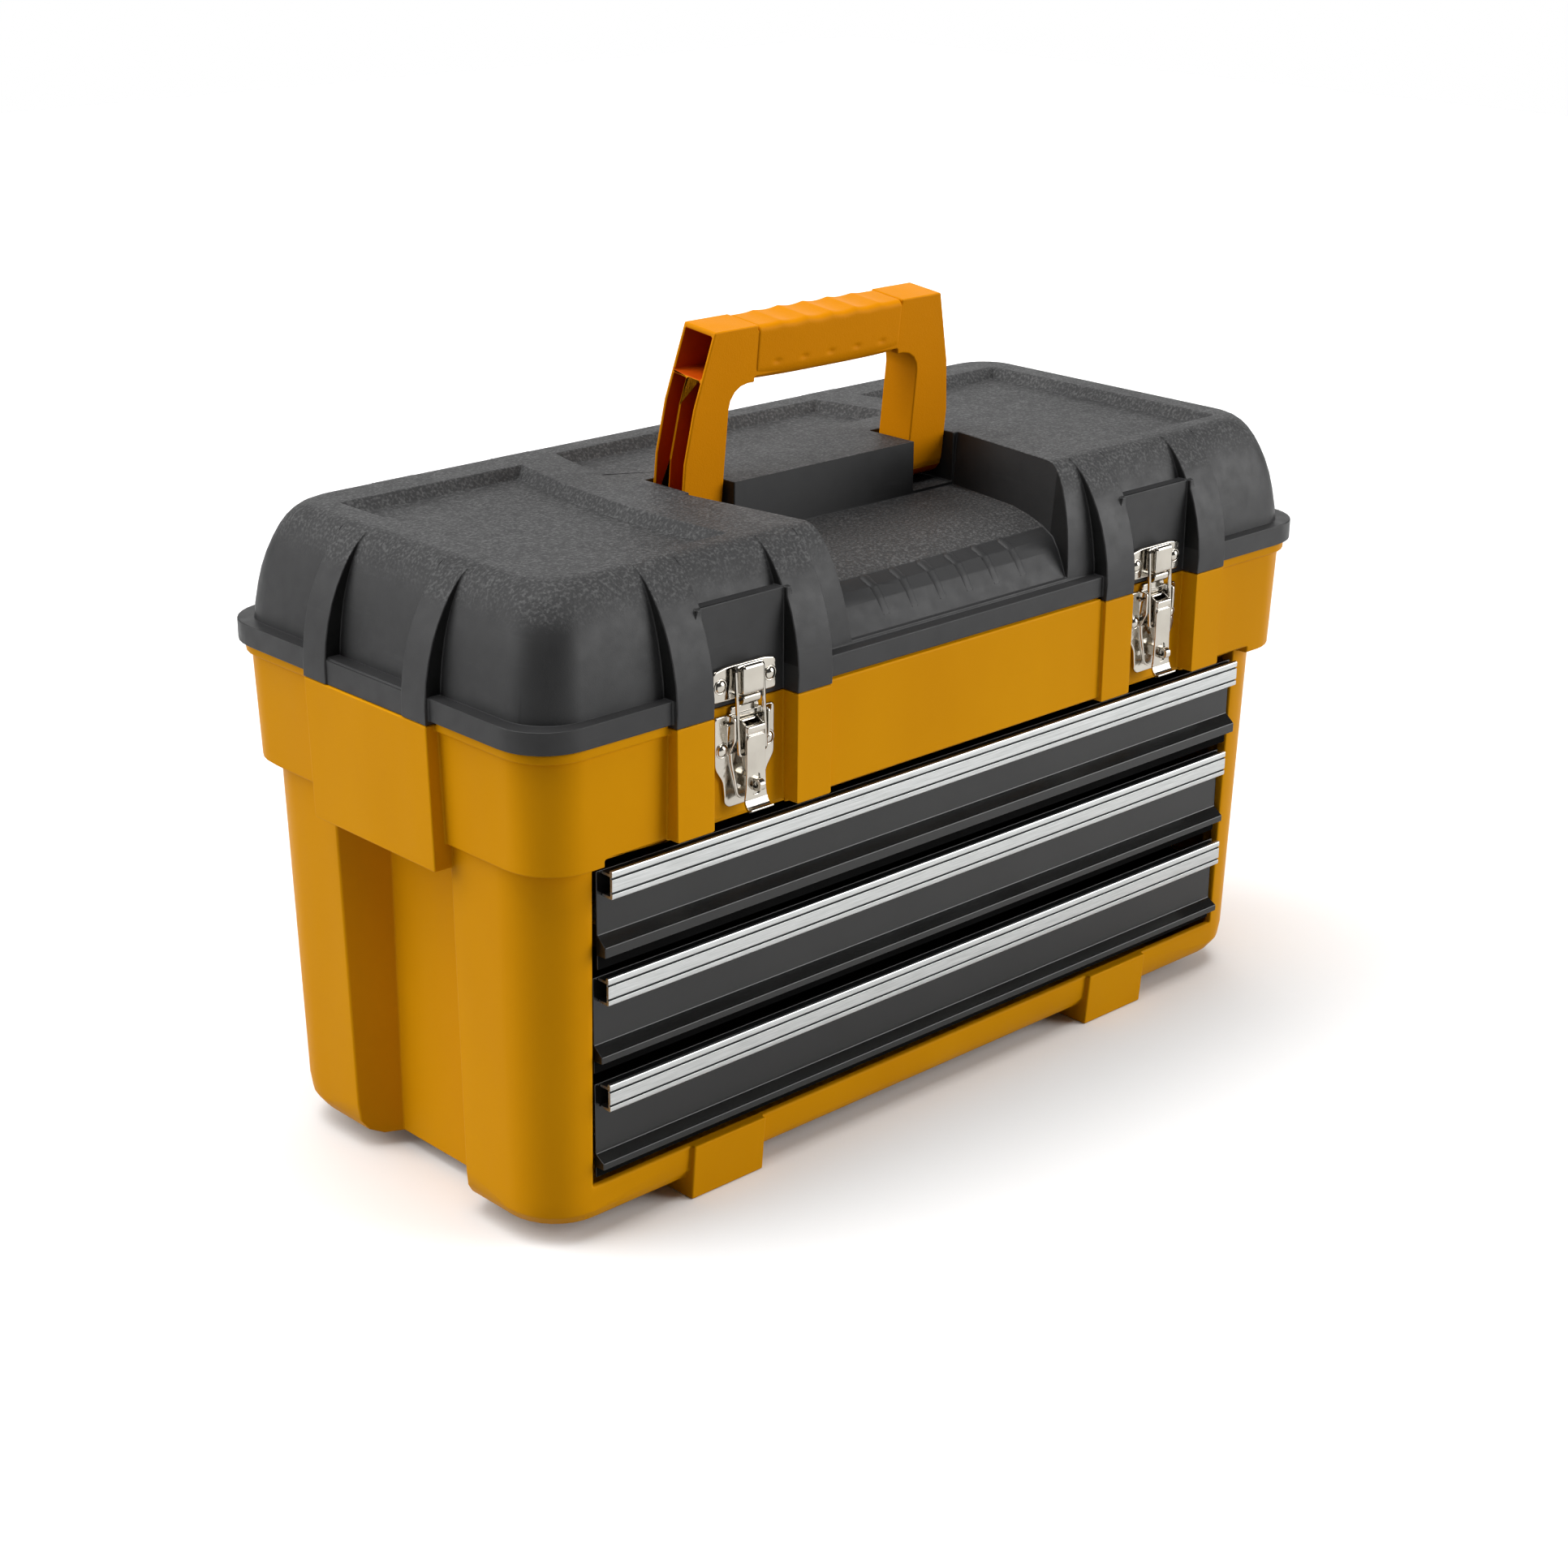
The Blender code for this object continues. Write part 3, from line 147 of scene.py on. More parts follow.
def mapped(tree, value, source, target):
    """A value carried from one range to another, and held at the ends."""
    inputs = {"Value": value, 1: source[0], 2: source[1], 3: target[0], 4: target[1]}
    return add(tree, "ShaderNodeMapRange", inputs).outputs["Result"]


def maths(tree, operation, first, second):
    return add(tree, "ShaderNodeMath", {0: first, 1: second}, operation=operation).outputs["Value"]


def bump(tree, height, depth, strength=1.0, under=None):
    """A normal roughened by a height; under is the normal of another bump that it adds to."""
    inputs = {"Height": height, "Distance": depth, "Strength": strength}
    if under:
        inputs["Normal"] = under
    return add(tree, "ShaderNodeBump", inputs).outputs["Normal"]


def new_material(name, metallic=0.0, specular=0.5):
    made = bpy.data.materials.new(name)
    made.use_nodes = True
    shader = made.node_tree.nodes["Principled BSDF"]
    shader.inputs["Metallic"].default_value = metallic
    shader.inputs["Specular IOR Level"].default_value = specular
    return made, made.node_tree, shader


def connect(tree, shader, colour, roughness, normal):
    tree.links.new(colour, shader.inputs["Base Color"])
    tree.links.new(roughness, shader.inputs["Roughness"])
    tree.links.new(normal, shader.inputs["Normal"])


def moulded_plastic(name, dark, light, roughness, grain, depth, specular):
    """Satin moulded plastic: slow mottling, faint flow streaks and a fine spark-eroded grain."""
    made, tree, shader = new_material(name, specular=specular)
    mottle = noise(tree, 9, 4, (1, 1, 0.5))
    colour = ramp(tree, mottle, [(0.3, dark), (0.7, light)])
    streaks = noise(tree, 60, 3, (1, 1, 0.12))
    rough = mapped(tree, streaks, MOST_NOISE, (roughness - 0.05, roughness + 0.06))
    fine = bump(tree, noise(tree, grain, 2), depth)
    waves = bump(tree, noise(tree, 45, 1), 0.0004, 0.25, fine)
    connect(tree, shader, colour, rough, waves)
    return made


def lid_plastic():
    """Dark plastic: stippled on top and in the handle well, satin with light scuffs on the sides; up-facing
    faces are lightened partly by painted light from above, and pad and rib sides are darkened by painted
    shade.
    """
    made, tree, shader = new_material("lid_plastic", specular=0.28)
    coordinates = add(tree, "ShaderNodeTexCoord")
    place = add(tree, "ShaderNodeSeparateXYZ", {"Vector": coordinates.outputs["Object"]}).outputs
    facings = add(tree, "ShaderNodeSeparateXYZ", {"Vector": coordinates.outputs["Normal"]}).outputs

    def times(first, second):
        return maths(tree, "MULTIPLY", first, second)

    def size(value):
        return maths(tree, "ABSOLUTE", value, 0)

    def past(value, fade):
        return mapped(tree, value, fade, (0, 1))

    def before(value, fade):
        return mapped(tree, value, fade, (1, 0))

    # The stipple covers what faces up, on the top and in the well; its lighter tone is partly the finish's
    # own and partly painted light from above
    across, away = size(place["X"]), size(place["Y"])
    in_well = times(before(across, WELL_SIDES), past(place["Y"], WELL_FRONT))
    in_well = times(in_well, past(place["Z"], WELL_BOTTOM))
    stipple_and_top_light = maths(tree, "MAXIMUM", past(place["Z"], LID_TOP), in_well)
    stipple_and_top_light = times(stipple_and_top_light, past(facings["Z"], (0.20, 0.60)))
    specks = times(past(noise(tree, 640, 2), (0.46, 0.68)), stipple_and_top_light)

    # Painted shade: the sides of the pads and end ribs are darkened as if they lay in deep shaded creases
    pad_side_shade = times(past(size(facings["X"]), (0.90, 0.96)), past(away, PAD_ROOTS))
    rib_side_shade = times(past(size(facings["Y"]), (0.90, 0.96)), past(across, RIB_ROOTS))
    crease_shade = maths(tree, "MAXIMUM", pad_side_shade, times(rib_side_shade, before(away, RIB_BACKS)))
    crease_shade = times(crease_shade, past(place["Z"], FLANGE_TOP))

    mottle = noise(tree, 14, 4)
    scuffs = mapped(tree, noise(tree, 70, 4, (0.25, 0.25, 2.2), 0.7), (0.60, 0.78), (0, 0.35))
    tone = maths(tree, "ADD", times(mottle, 0.24), times(scuffs, 0.25))
    tone = maths(tree, "ADD", tone, times(specks, 0.38))
    # Up-facing stippled faces are lighter: partly the stipple's own tone, partly painted light from above
    tone = maths(tree, "ADD", tone, times(stipple_and_top_light, 0.17))
    # Painted shade darkens the pad and rib sides
    tone = maths(tree, "SUBTRACT", tone, times(crease_shade, 0.30))
    stops = [(0.0, (0.006, 0.006, 0.006)), (0.10, (0.020, 0.020, 0.0205)), (0.30, (0.034, 0.034, 0.0345))]
    stops += [(0.60, (0.075, 0.075, 0.075)), (1.0, (0.150, 0.150, 0.148))]
    colour = ramp(tree, tone, stops)

    satin = mapped(tree, noise(tree, 120, 3), MOST_NOISE, (0.44, 0.54))
    rough = maths(tree, "ADD", satin, times(stipple_and_top_light, 0.12))
    coarse = bump(tree, times(noise(tree, 620, 3, roughness=0.7), stipple_and_top_light), 0.0006, 0.9)
    fine = bump(tree, noise(tree, 2200, 2), 0.00006, 0.6, coarse)
    connect(tree, shader, colour, rough, fine)
    return made


def painted_steel():
    """Gloss black paint with a slight orange peel and fine dust in the gloss."""
    made, tree, shader = new_material("gloss_black_paint", specular=0.34)
    colour = ramp(tree, noise(tree, 25, 3), [(0.3, (0.007, 0.007, 0.0068)), (0.7, (0.011, 0.011, 0.0106))])
    rough = mapped(tree, noise(tree, 30, 3), MOST_NOISE, (0.20, 0.26))
    peel = bump(tree, noise(tree, 350, 1), 0.00003, 0.25)
    connect(tree, shader, colour, rough, peel)
    return made


def brushed_aluminium(name, dark, light, roughness, depth):
    """Aluminium with fine parallel brushing along x."""
    scale, along = 2600, (0.02, 1, 1)
    made, tree, shader = new_material(name, metallic=1.0)
    lines = noise(tree, scale, 3, along, 0.6)
    colour = ramp(tree, lines, [(0.3, dark), (0.7, light)])
    gloss = noise(tree, scale / 3, 2, along)
    rough = mapped(tree, gloss, MOST_NOISE, (roughness - 0.06, roughness + 0.08))
    connect(tree, shader, colour, rough, bump(tree, lines, depth, 0.6))
    return made


def plated_metal(name, dark, light, roughness, scale):
    """Plated steel: a bright skin over slightly wavy pressed metal."""
    made, tree, shader = new_material(name, metallic=1.0)
    colour = ramp(tree, noise(tree, scale, 4), [(0.3, dark), (0.7, light)])
    rough = mapped(tree, noise(tree, scale * 4, 3), MOST_NOISE, (roughness - 0.03, roughness + 0.06))
    ripple = bump(tree, noise(tree, 230, 1), 0.00030, 0.5)
    fine = bump(tree, noise(tree, 3500, 2), 0.00001, 0.4, ripple)
    connect(tree, shader, colour, rough, fine)
    return made


# One material for each of the record's slots, then the ones that only some faces take
MATERIALS = {
    "yellow_plastic": moulded_plastic(
        "yellow_body_plastic",
        (0.58, 0.240, 0.0008),
        (0.64, 0.278, 0.0014),
        roughness=0.40,
        grain=1900,
        depth=0.00005,
        specular=0.03,
    ),
    "black_plastic": lid_plastic(),
    "grey_plastic": moulded_plastic(
        "tray_plastic",
        (0.050, 0.050, 0.052),
        (0.068, 0.068, 0.070),
        roughness=0.50,
        grain=1500,
        depth=0.00008,
        specular=0.4,
    ),
    "black_steel": painted_steel(),
    "aluminium": brushed_aluminium(
        "pull_aluminium", (0.37, 0.38, 0.375), (0.53, 0.54, 0.535), roughness=0.34, depth=0.00003
    ),
    "zinc_steel": plated_metal(
        "zinc_plate", (0.42, 0.42, 0.44), (0.55, 0.55, 0.56), roughness=0.36, scale=220
    ),
    "nickel_steel": plated_metal(
        "nickel_plate", (0.40, 0.372, 0.325), (0.49, 0.46, 0.405), roughness=0.12, scale=60
    ),
}
HANDLE_PLASTIC = moulded_plastic(
    "handle_plastic",
    (0.60, 0.208, 0.0005),
    (0.66, 0.236, 0.0007),
    roughness=0.48,
    grain=1300,
    depth=0.00012,
    specular=0.03,
)
# Near-black material for the fold under each drawer front's lip: painted shade
PAINTED_SHADE_STEEL = moulded_plastic(
    "painted_shade_steel",
    (0.003, 0.003, 0.003),
    (0.005, 0.005, 0.005),
    roughness=0.8,
    grain=1300,
    depth=0.00002,
    specular=0.02,
)
GROOVE = brushed_aluminium(
    "groove_aluminium", (0.045, 0.047, 0.048), (0.085, 0.088, 0.090), roughness=0.5, depth=0.00002
)
# Darker, redder plastic for the faces inside the handle's hollow legs: painted shade
HANDLE_HOLLOW_SHADE = moulded_plastic(
    "handle_hollow_shade",
    (0.40, 0.045, 0.0005),
    (0.48, 0.062, 0.0008),
    roughness=0.55,
    grain=1300,
    depth=0.00008,
    specular=0.05,
)


# Mesh helpers


def welded(node, triangulate):
    """A copy of a CAD node's mesh, welded, with its flat faces made whole."""
    bm = bmesh.new()
    bm.from_mesh(NODES[node].data)
    bmesh.ops.remove_doubles(bm, verts=bm.verts, dist=WELD)
    bmesh.ops.dissolve_limit(
        bm, angle_limit=FLAT, verts=bm.verts, edges=bm.edges, use_dissolve_boundaries=False
    )
    if triangulate:
        bmesh.ops.triangulate(bm, faces=bm.faces)
    return bm


def lofted(rings):
    """A closed solid through rings of points, capped at both ends."""
    bm = bmesh.new()
    rings = [[bm.verts.new(point) for point in ring] for ring in rings]
    for near, far in zip(rings, rings[1:]):
        for k, vert in enumerate(near):
            after = (k + 1) % len(near)
            bm.faces.new((vert, near[after], far[after], far[k]))
    bm.faces.new(rings[0])
    bm.faces.new(list(reversed(rings[-1])))
    bmesh.ops.recalc_face_normals(bm, faces=bm.faces)
    return bm


def extruded(points, low_x, high_x):
    """A solid with the outline (y, z), drawn along x."""
    return lofted([[(x, y, z) for y, z in points] for x in (low_x, high_x)])


def shown_piece(node, bm, material=None):
    """A smooth piece that stands for one CAD node and rides on the same body."""
    mesh = bpy.data.meshes.new(f"{node}_shown")
    for face in bm.faces:
        face.smooth = True
    bm.to_mesh(mesh)
    bm.free()
    obj = bpy.data.objects.new(f"{node}_shown", mesh)
    bpy.context.scene.collection.objects.link(obj)
    mesh.materials.append(material or MATERIALS[SLOT_OF[node]])
    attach(obj, BODY_OF[node])
    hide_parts(node)
    return obj


def keep_flats(obj):
    """Shades the flat faces flat beside the rounded edges."""
    normals = obj.modifiers.new("flats", "WEIGHTED_NORMAL")
    normals.weight = 100


def rounded(obj, width, segments):
    """Rounds the sharp edges and keeps the flats flat in shading."""
    bevel = obj.modifiers.new("rounding", "BEVEL")
    bevel.width = width
    bevel.segments = segments
    bevel.limit_method = "ANGLE"
    bevel.angle_limit = SHARP
    bevel.use_clamp_overlap = False
    bevel.miter_outer = "MITER_ARC"
    keep_flats(obj)


def refined(node, width, segments=3, material=None, triangulate=False):
    """A rounded piece with the shape of its CAD node."""
    obj = shown_piece(node, welded(node, triangulate), material)
    rounded(obj, width, segments)
    return obj


def unite(obj, shapes, at=0, operation="UNION"):
    """Joins closed shapes to a piece, or takes them away, and applies all of its modifiers.

    The Boolean stands at the given place among the piece's modifiers.
    """
    joined = bmesh.new()
    for shape in shapes:
        extra = bpy.data.meshes.new("extra")
        shape.to_mesh(extra)
        shape.free()
        joined.from_mesh(extra)
        bpy.data.meshes.remove(extra)
    mesh = bpy.data.meshes.new("shapes")
    joined.to_mesh(mesh)
    joined.free()
    other = bpy.data.objects.new("shapes", mesh)
    bpy.context.scene.collection.objects.link(other)
    modifier = obj.modifiers.new("join", "BOOLEAN")
    modifier.operation = operation
    modifier.solver = "MANIFOLD"
    modifier.object = other
    obj.modifiers.move(len(obj.modifiers) - 1, at)
    bpy.context.view_layer.update()
    graph = bpy.context.evaluated_depsgraph_get()
    made = bpy.data.meshes.new_from_object(obj.evaluated_get(graph), depsgraph=graph)
    obj.modifiers.clear()
    obj.data = made
    bpy.data.objects.remove(other)
    bpy.data.meshes.remove(mesh)


# Body, lid and handle

WELL_LINE = (  # y and z along the front of the handle well, where its floor rolls down
    (-0.0900, 0.3066),
    (-0.1003, 0.3040),
    (-0.1087, 0.3004),
    (-0.1138, 0.2948),
    (-0.1183, 0.2878),
    (-0.1222, 0.2815),
)
FINGER_RIBS_AT = (-0.051, -0.0305, -0.010, 0.010, 0.0305, 0.051)


def along_well(distance):
    """The point at a distance along the well's line, and the direction out of the surface."""
    for (y0, z0), (y1, z1) in zip(WELL_LINE, WELL_LINE[1:]):
        length = hypot(y1 - y0, z1 - z0)
        if distance <= length:
            share = distance / length
            point = Vector((0, y0 + (y1 - y0) * share, z0 + (z1 - z0) * share))
            return point, Vector((0, z1 - z0, y0 - y1)) / length
        distance -= length
    raise ValueError("past the end of the well's line")


def finger_rib(x):
    """A low rib with a blunt crescent top that fades out down the roll of the well."""
    start, length, root = 0.0098, 0.026, 0.0012
    tallest, least, widest = 0.0011, 0.00002, 0.0034
    steps, around = 26, 10
    rings = []
    for step in range(steps + 1):
        share = step / steps
        rise = min(1.0, share / 0.12) ** 0.5
        height = tallest * rise * (1 - share) ** 0.8 + least
        half = widest * rise * (1 - 0.35 * share)
        point, out = along_well(start + length * share)
        ring = []
        for k in range(around + 1):
            turn = pi * k / around
            lift = height * sin(turn) ** 1.3
            ring.append(point + Vector((x + half * cos(turn), 0, 0)) + out * lift)
        for sign in (-1, 1):
            ring.append(point + Vector((x + sign * half, 0, 0)) - out * root)
        rings.append(ring)
    return lofted(rings)


def build_handle_frame():
    """The moulded frame; the faces inside its hollow legs take a deeper colour that is painted shade."""
    piece = refined("handle_frame", 0.0009, material=HANDLE_PLASTIC)
    piece.data.materials.append(HANDLE_HOLLOW_SHADE)
    at = Vector(HANDLE_AXIS)
    upright = Matrix.Translation(at) @ Matrix.Rotation(-HANDLE_LEAN, 4, "X") @ Matrix.Translation(-at)
    _, axis_y, axis_z = HANDLE_AXIS
    for face in piece.data.polygons:
        centre = upright @ face.center
        x, y, z = abs(centre.x), abs(centre.y - axis_y), centre.z - axis_z
        outward = face.normal.x * (1 if centre.x > 0 else -1)
        upper_hollow = x > 0.0615 and 0.0695 < z < 0.0915
        lower_hollow = x > 0.0710 and z < 0.0690
        outer_face = outward > 0.9 and x > 0.0785
        if y < 0.0103 and (upper_hollow or lower_hollow) and not outer_face:
            # Painted shade inside the hollows
            face.material_index = 1


def rounded_section(half_y, bottom, top, top_radius, bottom_radius, count):
    """Evenly spaced points round a rectangle with rounded corners."""
    corners = (
        (half_y - bottom_radius, bottom + bottom_radius, bottom_radius, -90),
        (half_y - top_radius, top - top_radius, top_radius, 0),
        (-half_y + top_radius, top - top_radius, top_radius, 90),
        (-half_y + bottom_radius, bottom + bottom_radius, bottom_radius, 180),
    )
    steps = 16
    dense = []
    for y, z, radius, start in corners:
        for k in range(steps + 1):
            turn = radians(start + 90 * k / steps)
            dense.append((y + radius * cos(turn), z + radius * sin(turn)))
    dense.append(dense[0])
    lengths = [hypot(b[0] - a[0], b[1] - a[1]) for a, b in zip(dense, dense[1:])]
    total = sum(lengths)
    points, walked, index = [], 0.0, 0
    for k in range(count):
        goal = total * k / count
        while walked + lengths[index] < goal:
            walked += lengths[index]
            index += 1
        share = (goal - walked) / lengths[index]
        (y0, z0), (y1, z1) = dense[index], dense[index + 1]
        points.append((y0 + (y1 - y0) * share, z0 + (z1 - z0) * share))
    return points


def dents(x, z):
    """Yields how deep each of the five dents in the front of the grip is at a point."""
    spacing, level, half_width, half_height, depth = 0.019, 0.0735, 0.0026, 0.0011, 0.0009
    up = (z - level) / half_height
    for number in range(-2, 3):
        across = (x - number * spacing) / half_width
        yield depth * exp(-(across**2) - up**2)


def build_grip():
    """The sleeve on the handle: gently bulged, scalloped on top, with five small dents in front."""
    half_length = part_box("handle_grip")[1].x
    stations, around, scallop = 150, 120, 0.0178
    rings = []
    for step in range(stations + 1):
        x = -half_length + 2 * half_length * step / stations
        swell = 1 - abs(x / half_length) ** 3
        inset = 0.0006 * max(0.0, 1 - (half_length - abs(x)) / 0.0008) ** 2  # rounds the sleeve's ends
        half_y = 0.0125 + 0.0010 * swell - inset
        wave = 1 - 1.3 * abs(sin(pi * x / scallop))
        top = 0.0937 + 0.0008 * swell * wave - inset
        bottom = 0.0640 - 0.0004 * swell + inset
        ring = []
        section = rounded_section(half_y, bottom, top, top_radius=0.0035, bottom_radius=0.0085, count=around)
        for y, z in section:
            if y < 0:
                for depth in dents(x, z):
                    y += depth
            ring.append((x, y, z))
        rings.append(ring)
    bm = lofted(rings)
    _, axis_y, axis_z = HANDLE_AXIS
    lean = Matrix.Translation((0, axis_y, axis_z)) @ Matrix.Rotation(HANDLE_LEAN, 4, "X")
    bmesh.ops.transform(bm, matrix=lean, verts=bm.verts)
    shown_piece("handle_grip", bm, HANDLE_PLASTIC)


# Drawers

FRONT_STEPS = {  # heights above the front's lower edge: the slope's top, and the lip's top and bottom
    1: (0.0181, 0.0132, 0.0079),
    2: (0.0153, 0.0107, 0.0072),
    3: (0.0130, 0.0097, 0.0062),
}


def build_pull(number):
    """The aluminium pull: a narrow, a wide and a narrow strip, with dark grooves between them."""
    low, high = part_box(f"drawer_{number}_pull")
    front, back, wall, groove, depth = low.y, high.y, 0.0017, 0.0011, 0.0010
    bottom, top = low.z, high.z
    face = [(front + 0.0017, top), (front + 0.0003, top - 0.0003), (front, top - 0.0010)]
    for z in (top - 0.0038, bottom + 0.0034):
        face += [(front, z + groove / 2), (front + depth, z + groove * 0.35)]
        face += [(front + depth, z - groove * 0.35), (front, z - groove / 2)]
    face += [(front, bottom + 0.0008), (front + 0.0003, bottom + 0.0002), (front + 0.0010, bottom)]
    rear = [(back, bottom), (back, bottom + 0.0014), (front + wall, bottom + 0.0014)]
    rear += [(front + wall, top - 0.0032), (back, top - 0.0032), (back, top - 0.0018)]
    rear += [(front + 0.0022, top - 0.0018)]
    obj = shown_piece(f"drawer_{number}_pull", extruded(face + rear, low.x, high.x))
    obj.data.materials.append(GROOVE)
    for polygon in obj.data.polygons:
        y, z = polygon.center.y - front, polygon.center.z
        in_groove = 0.0002 < y < depth + 0.0001 and bottom + 0.002 < z < top - 0.002
        on_hook = y > 0.0018 and z > top - 0.0030
        if abs(polygon.normal.x) < 0.5 and (in_groove or on_hook):
            polygon.material_index = 1
    rounded(obj, 0.00012, 2)


def build_front(number):
    """The pressed steel front: a flat face, a slope out to the lip, and a fold under it made dark with
    painted shade.
    """
    low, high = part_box(f"drawer_{number}_front")
    lip, sheet = low.y, 0.0012
    face = lip + 0.0060
    bottom, top = low.z, high.z
    slope, lip_top, lip_bottom = FRONT_STEPS[number]
    points = [(face, top), (face, bottom + slope), (lip, bottom + lip_top), (lip, bottom + lip_bottom)]
    points += [(face, bottom + lip_bottom - 0.0004), (face, bottom)]
    points += [(face + sheet, z) for z in (bottom, top)]
    obj = shown_piece(f"drawer_{number}_front", extruded(points, low.x, high.x))
    obj.data.materials.append(PAINTED_SHADE_STEEL)
    # The fold's faces under the lip take the painted shade
    for polygon in obj.data.polygons:
        if polygon.center.z < bottom + lip_bottom - 0.0001 and abs(polygon.normal.x) < 0.5:
            polygon.material_index = 1
    rounded(obj, 0.0004, 3)


# Latches; u is the distance across a latch from its middle

PLATE = (-0.1243, -0.1223)  # the front and back of the plates, in y
PLATE_CORNER = 0.0022
CORNER_STEPS = 4


def corner_arc(corner, before, after, radius):
    """The points that round one corner of an outline."""
    corner, before, after = Vector(corner), Vector(before), Vector(after)
    radius = min(radius, 0.45 * (before - corner).length, 0.45 * (after - corner).length)
    start = corner + (before - corner).normalized() * radius
    end = corner + (after - corner).normalized() * radius
    points = []
    for k in range(CORNER_STEPS + 1):
        share = k / CORNER_STEPS
        points.append(tuple((1 - share) ** 2 * start + 2 * share * (1 - share) * corner + share**2 * end))
    return points


def softened(outline, radius):
    """An outline with every corner rounded."""
    made = []
    for k, corner in enumerate(outline):
        made += corner_arc(corner, outline[k - 1], outline[(k + 1) % len(outline)], radius)
    return made


def bevelled(bm, width):
    """A solid with its sharp edges rounded."""
    if width:
        edges = [edge for edge in bm.edges if edge.calc_face_angle(0) > LATCH_SHARP]
        bmesh.ops.bevel(
            bm, geom=edges, offset=width, segments=3, profile=0.5, affect="EDGES", clamp_overlap=False
        )
    return bm


def plate_solid(x, outline, span, width):
    """A plate facing forward; its outline is in u and z, mirrored about the latch's middle."""
    outline = outline + [(-u, z) for u, z in reversed(outline)]
    corners = softened(outline, PLATE_CORNER)
    return bevelled(lofted([[(x + u, y, z) for u, z in corners] for y in span]), width)


def side_solid(x, span, profile, width, radius):
    """A solid with a profile in y and z, drawn across the latch from one u to another."""
    return bevelled(extruded(softened(profile, radius), x + span[0], x + span[1]), width)


def pressed_piece(node, shapes, hole=None):
    """One piece from overlapping solids, in place of a CAD node; the hole is cut in the first one."""
    obj = shown_piece(node, shapes[0])
    if hole:
        unite(obj, [hole], operation="DIFFERENCE")
    for shape in shapes[1:]:
        unite(obj, [shape])
    for polygon in obj.data.polygons:
        polygon.use_smooth = True
    keep_flats(obj)


def build_keeper(side, x):
    """The plate on the lid, with the boss that the bail hooks over and a tongue under it."""
    ears = [(0.0204, 0.2692), (0.0204, 0.2850), (0.0125, 0.2864)]
    boss = [(-0.1237, 0.2722), (-0.1300, 0.2722), (-0.1310, 0.2738), (-0.1310, 0.2858), (-0.1302, 0.2869)]
    boss += [(-0.1288, 0.2869), (-0.1282, 0.2860), (-0.1282, 0.2847), (-0.1237, 0.2847)]
    tongue = [(-0.1230, 0.2662), (-0.1275, 0.2662), (-0.1296, 0.2682), (-0.1296, 0.2714), (-0.1230, 0.2714)]
    shapes = [
        plate_solid(x, ears, PLATE, 0.0009),
        side_solid(x, (-0.0067, 0.0067), boss, 0.0014, 0.0018),
        side_solid(x, (-0.0056, 0.0056), tongue, 0.0007, 0.0012),
    ]
    pressed_piece(f"keeper_{side}", shapes)


def build_latch_base(side, x):
    """The plate on the body, with a raised web, a bridge and two walls beside the lever."""
    front, back = PLATE
    base = [(0.0105, 0.2147), (0.0128, 0.2170), (0.0142, 0.2290), (0.0194, 0.2365), (0.0194, 0.2622)]
    web = [(0.0040, 0.2180), (0.0062, 0.2200), (0.0108, 0.2390), (0.0108, 0.2440)]
    bridge = [(0.0092, 0.2600), (0.0092, 0.2654)]
    wall = [(-0.1230, 0.2400), (-0.1262, 0.2430), (-0.1296, 0.2500)]
    wall += [(-0.1296, 0.2608), (-0.1284, 0.2622), (-0.1230, 0.2622)]
    shapes = [
        plate_solid(x, base, PLATE, 0.0008),
        plate_solid(x, web, (front - 0.0016, back - 0.0005), 0.0009),
        plate_solid(x, bridge, (front + 0.0002, back), 0.0006),
        side_solid(x, (0.0104, 0.0118), wall, 0.0004, 0.0012),
        side_solid(x, (-0.0118, -0.0104), wall, 0.0004, 0.0012),
    ]
    pressed_piece(f"latch_base_{side}", shapes)


def build_latch_lever(side, x):
    """The lever: a slotted blade with a cap and neck above it, two cheeks and a finger tab below."""
    blade = [(0.0074, 0.2178), (0.0064, 0.2235), (0.0060, 0.2340), (0.0060, 0.2519)]
    cap = [(-0.1327, 0.2530), (-0.1327, 0.2567), (-0.1290, 0.2567), (-0.1290, 0.2530)]
    neck = [(-0.1317, 0.2500), (-0.1317, 0.2560), (-0.1300, 0.2560), (-0.1300, 0.2500)]
    cheek = [(-0.1314, 0.2569), (-0.1314, 0.2330), (-0.1285, 0.2385), (-0.1246, 0.2545), (-0.1246, 0.2580)]
    cheek += [(-0.1252, 0.2590), (-0.1275, 0.2590)]
    tab = [(-0.1314, 0.2196), (-0.1318, 0.2170), (-0.1330, 0.2149), (-0.1350, 0.2141), (-0.1372, 0.2150)]
    tab += [(-0.1370, 0.2160), (-0.1354, 0.2153), (-0.1340, 0.2161), (-0.1329, 0.2177), (-0.1324, 0.2196)]
    shapes = [
        plate_solid(x, blade, (-0.1325, -0.1311), 0.0004),
        side_solid(x, (-0.0057, 0.0057), cap, 0.0007, 0.0010),
        side_solid(x, (-0.0050, 0.0050), neck, 0.0003, 0.0006),
        side_solid(x, (0.0048, 0.0060), cheek, 0.0003, 0.0012),
        side_solid(x, (-0.0060, -0.0048), cheek, 0.0003, 0.0012),
        side_solid(x, (-0.0073, 0.0073), tab, 0.0002, 0.0006),
    ]
    slot = plate_solid(x, [(0.0027, 0.2212), (0.0027, 0.2322)], (-0.1345, -0.1290), 0)
    pressed_piece(f"latch_lever_{side}", shapes, hole=slot)


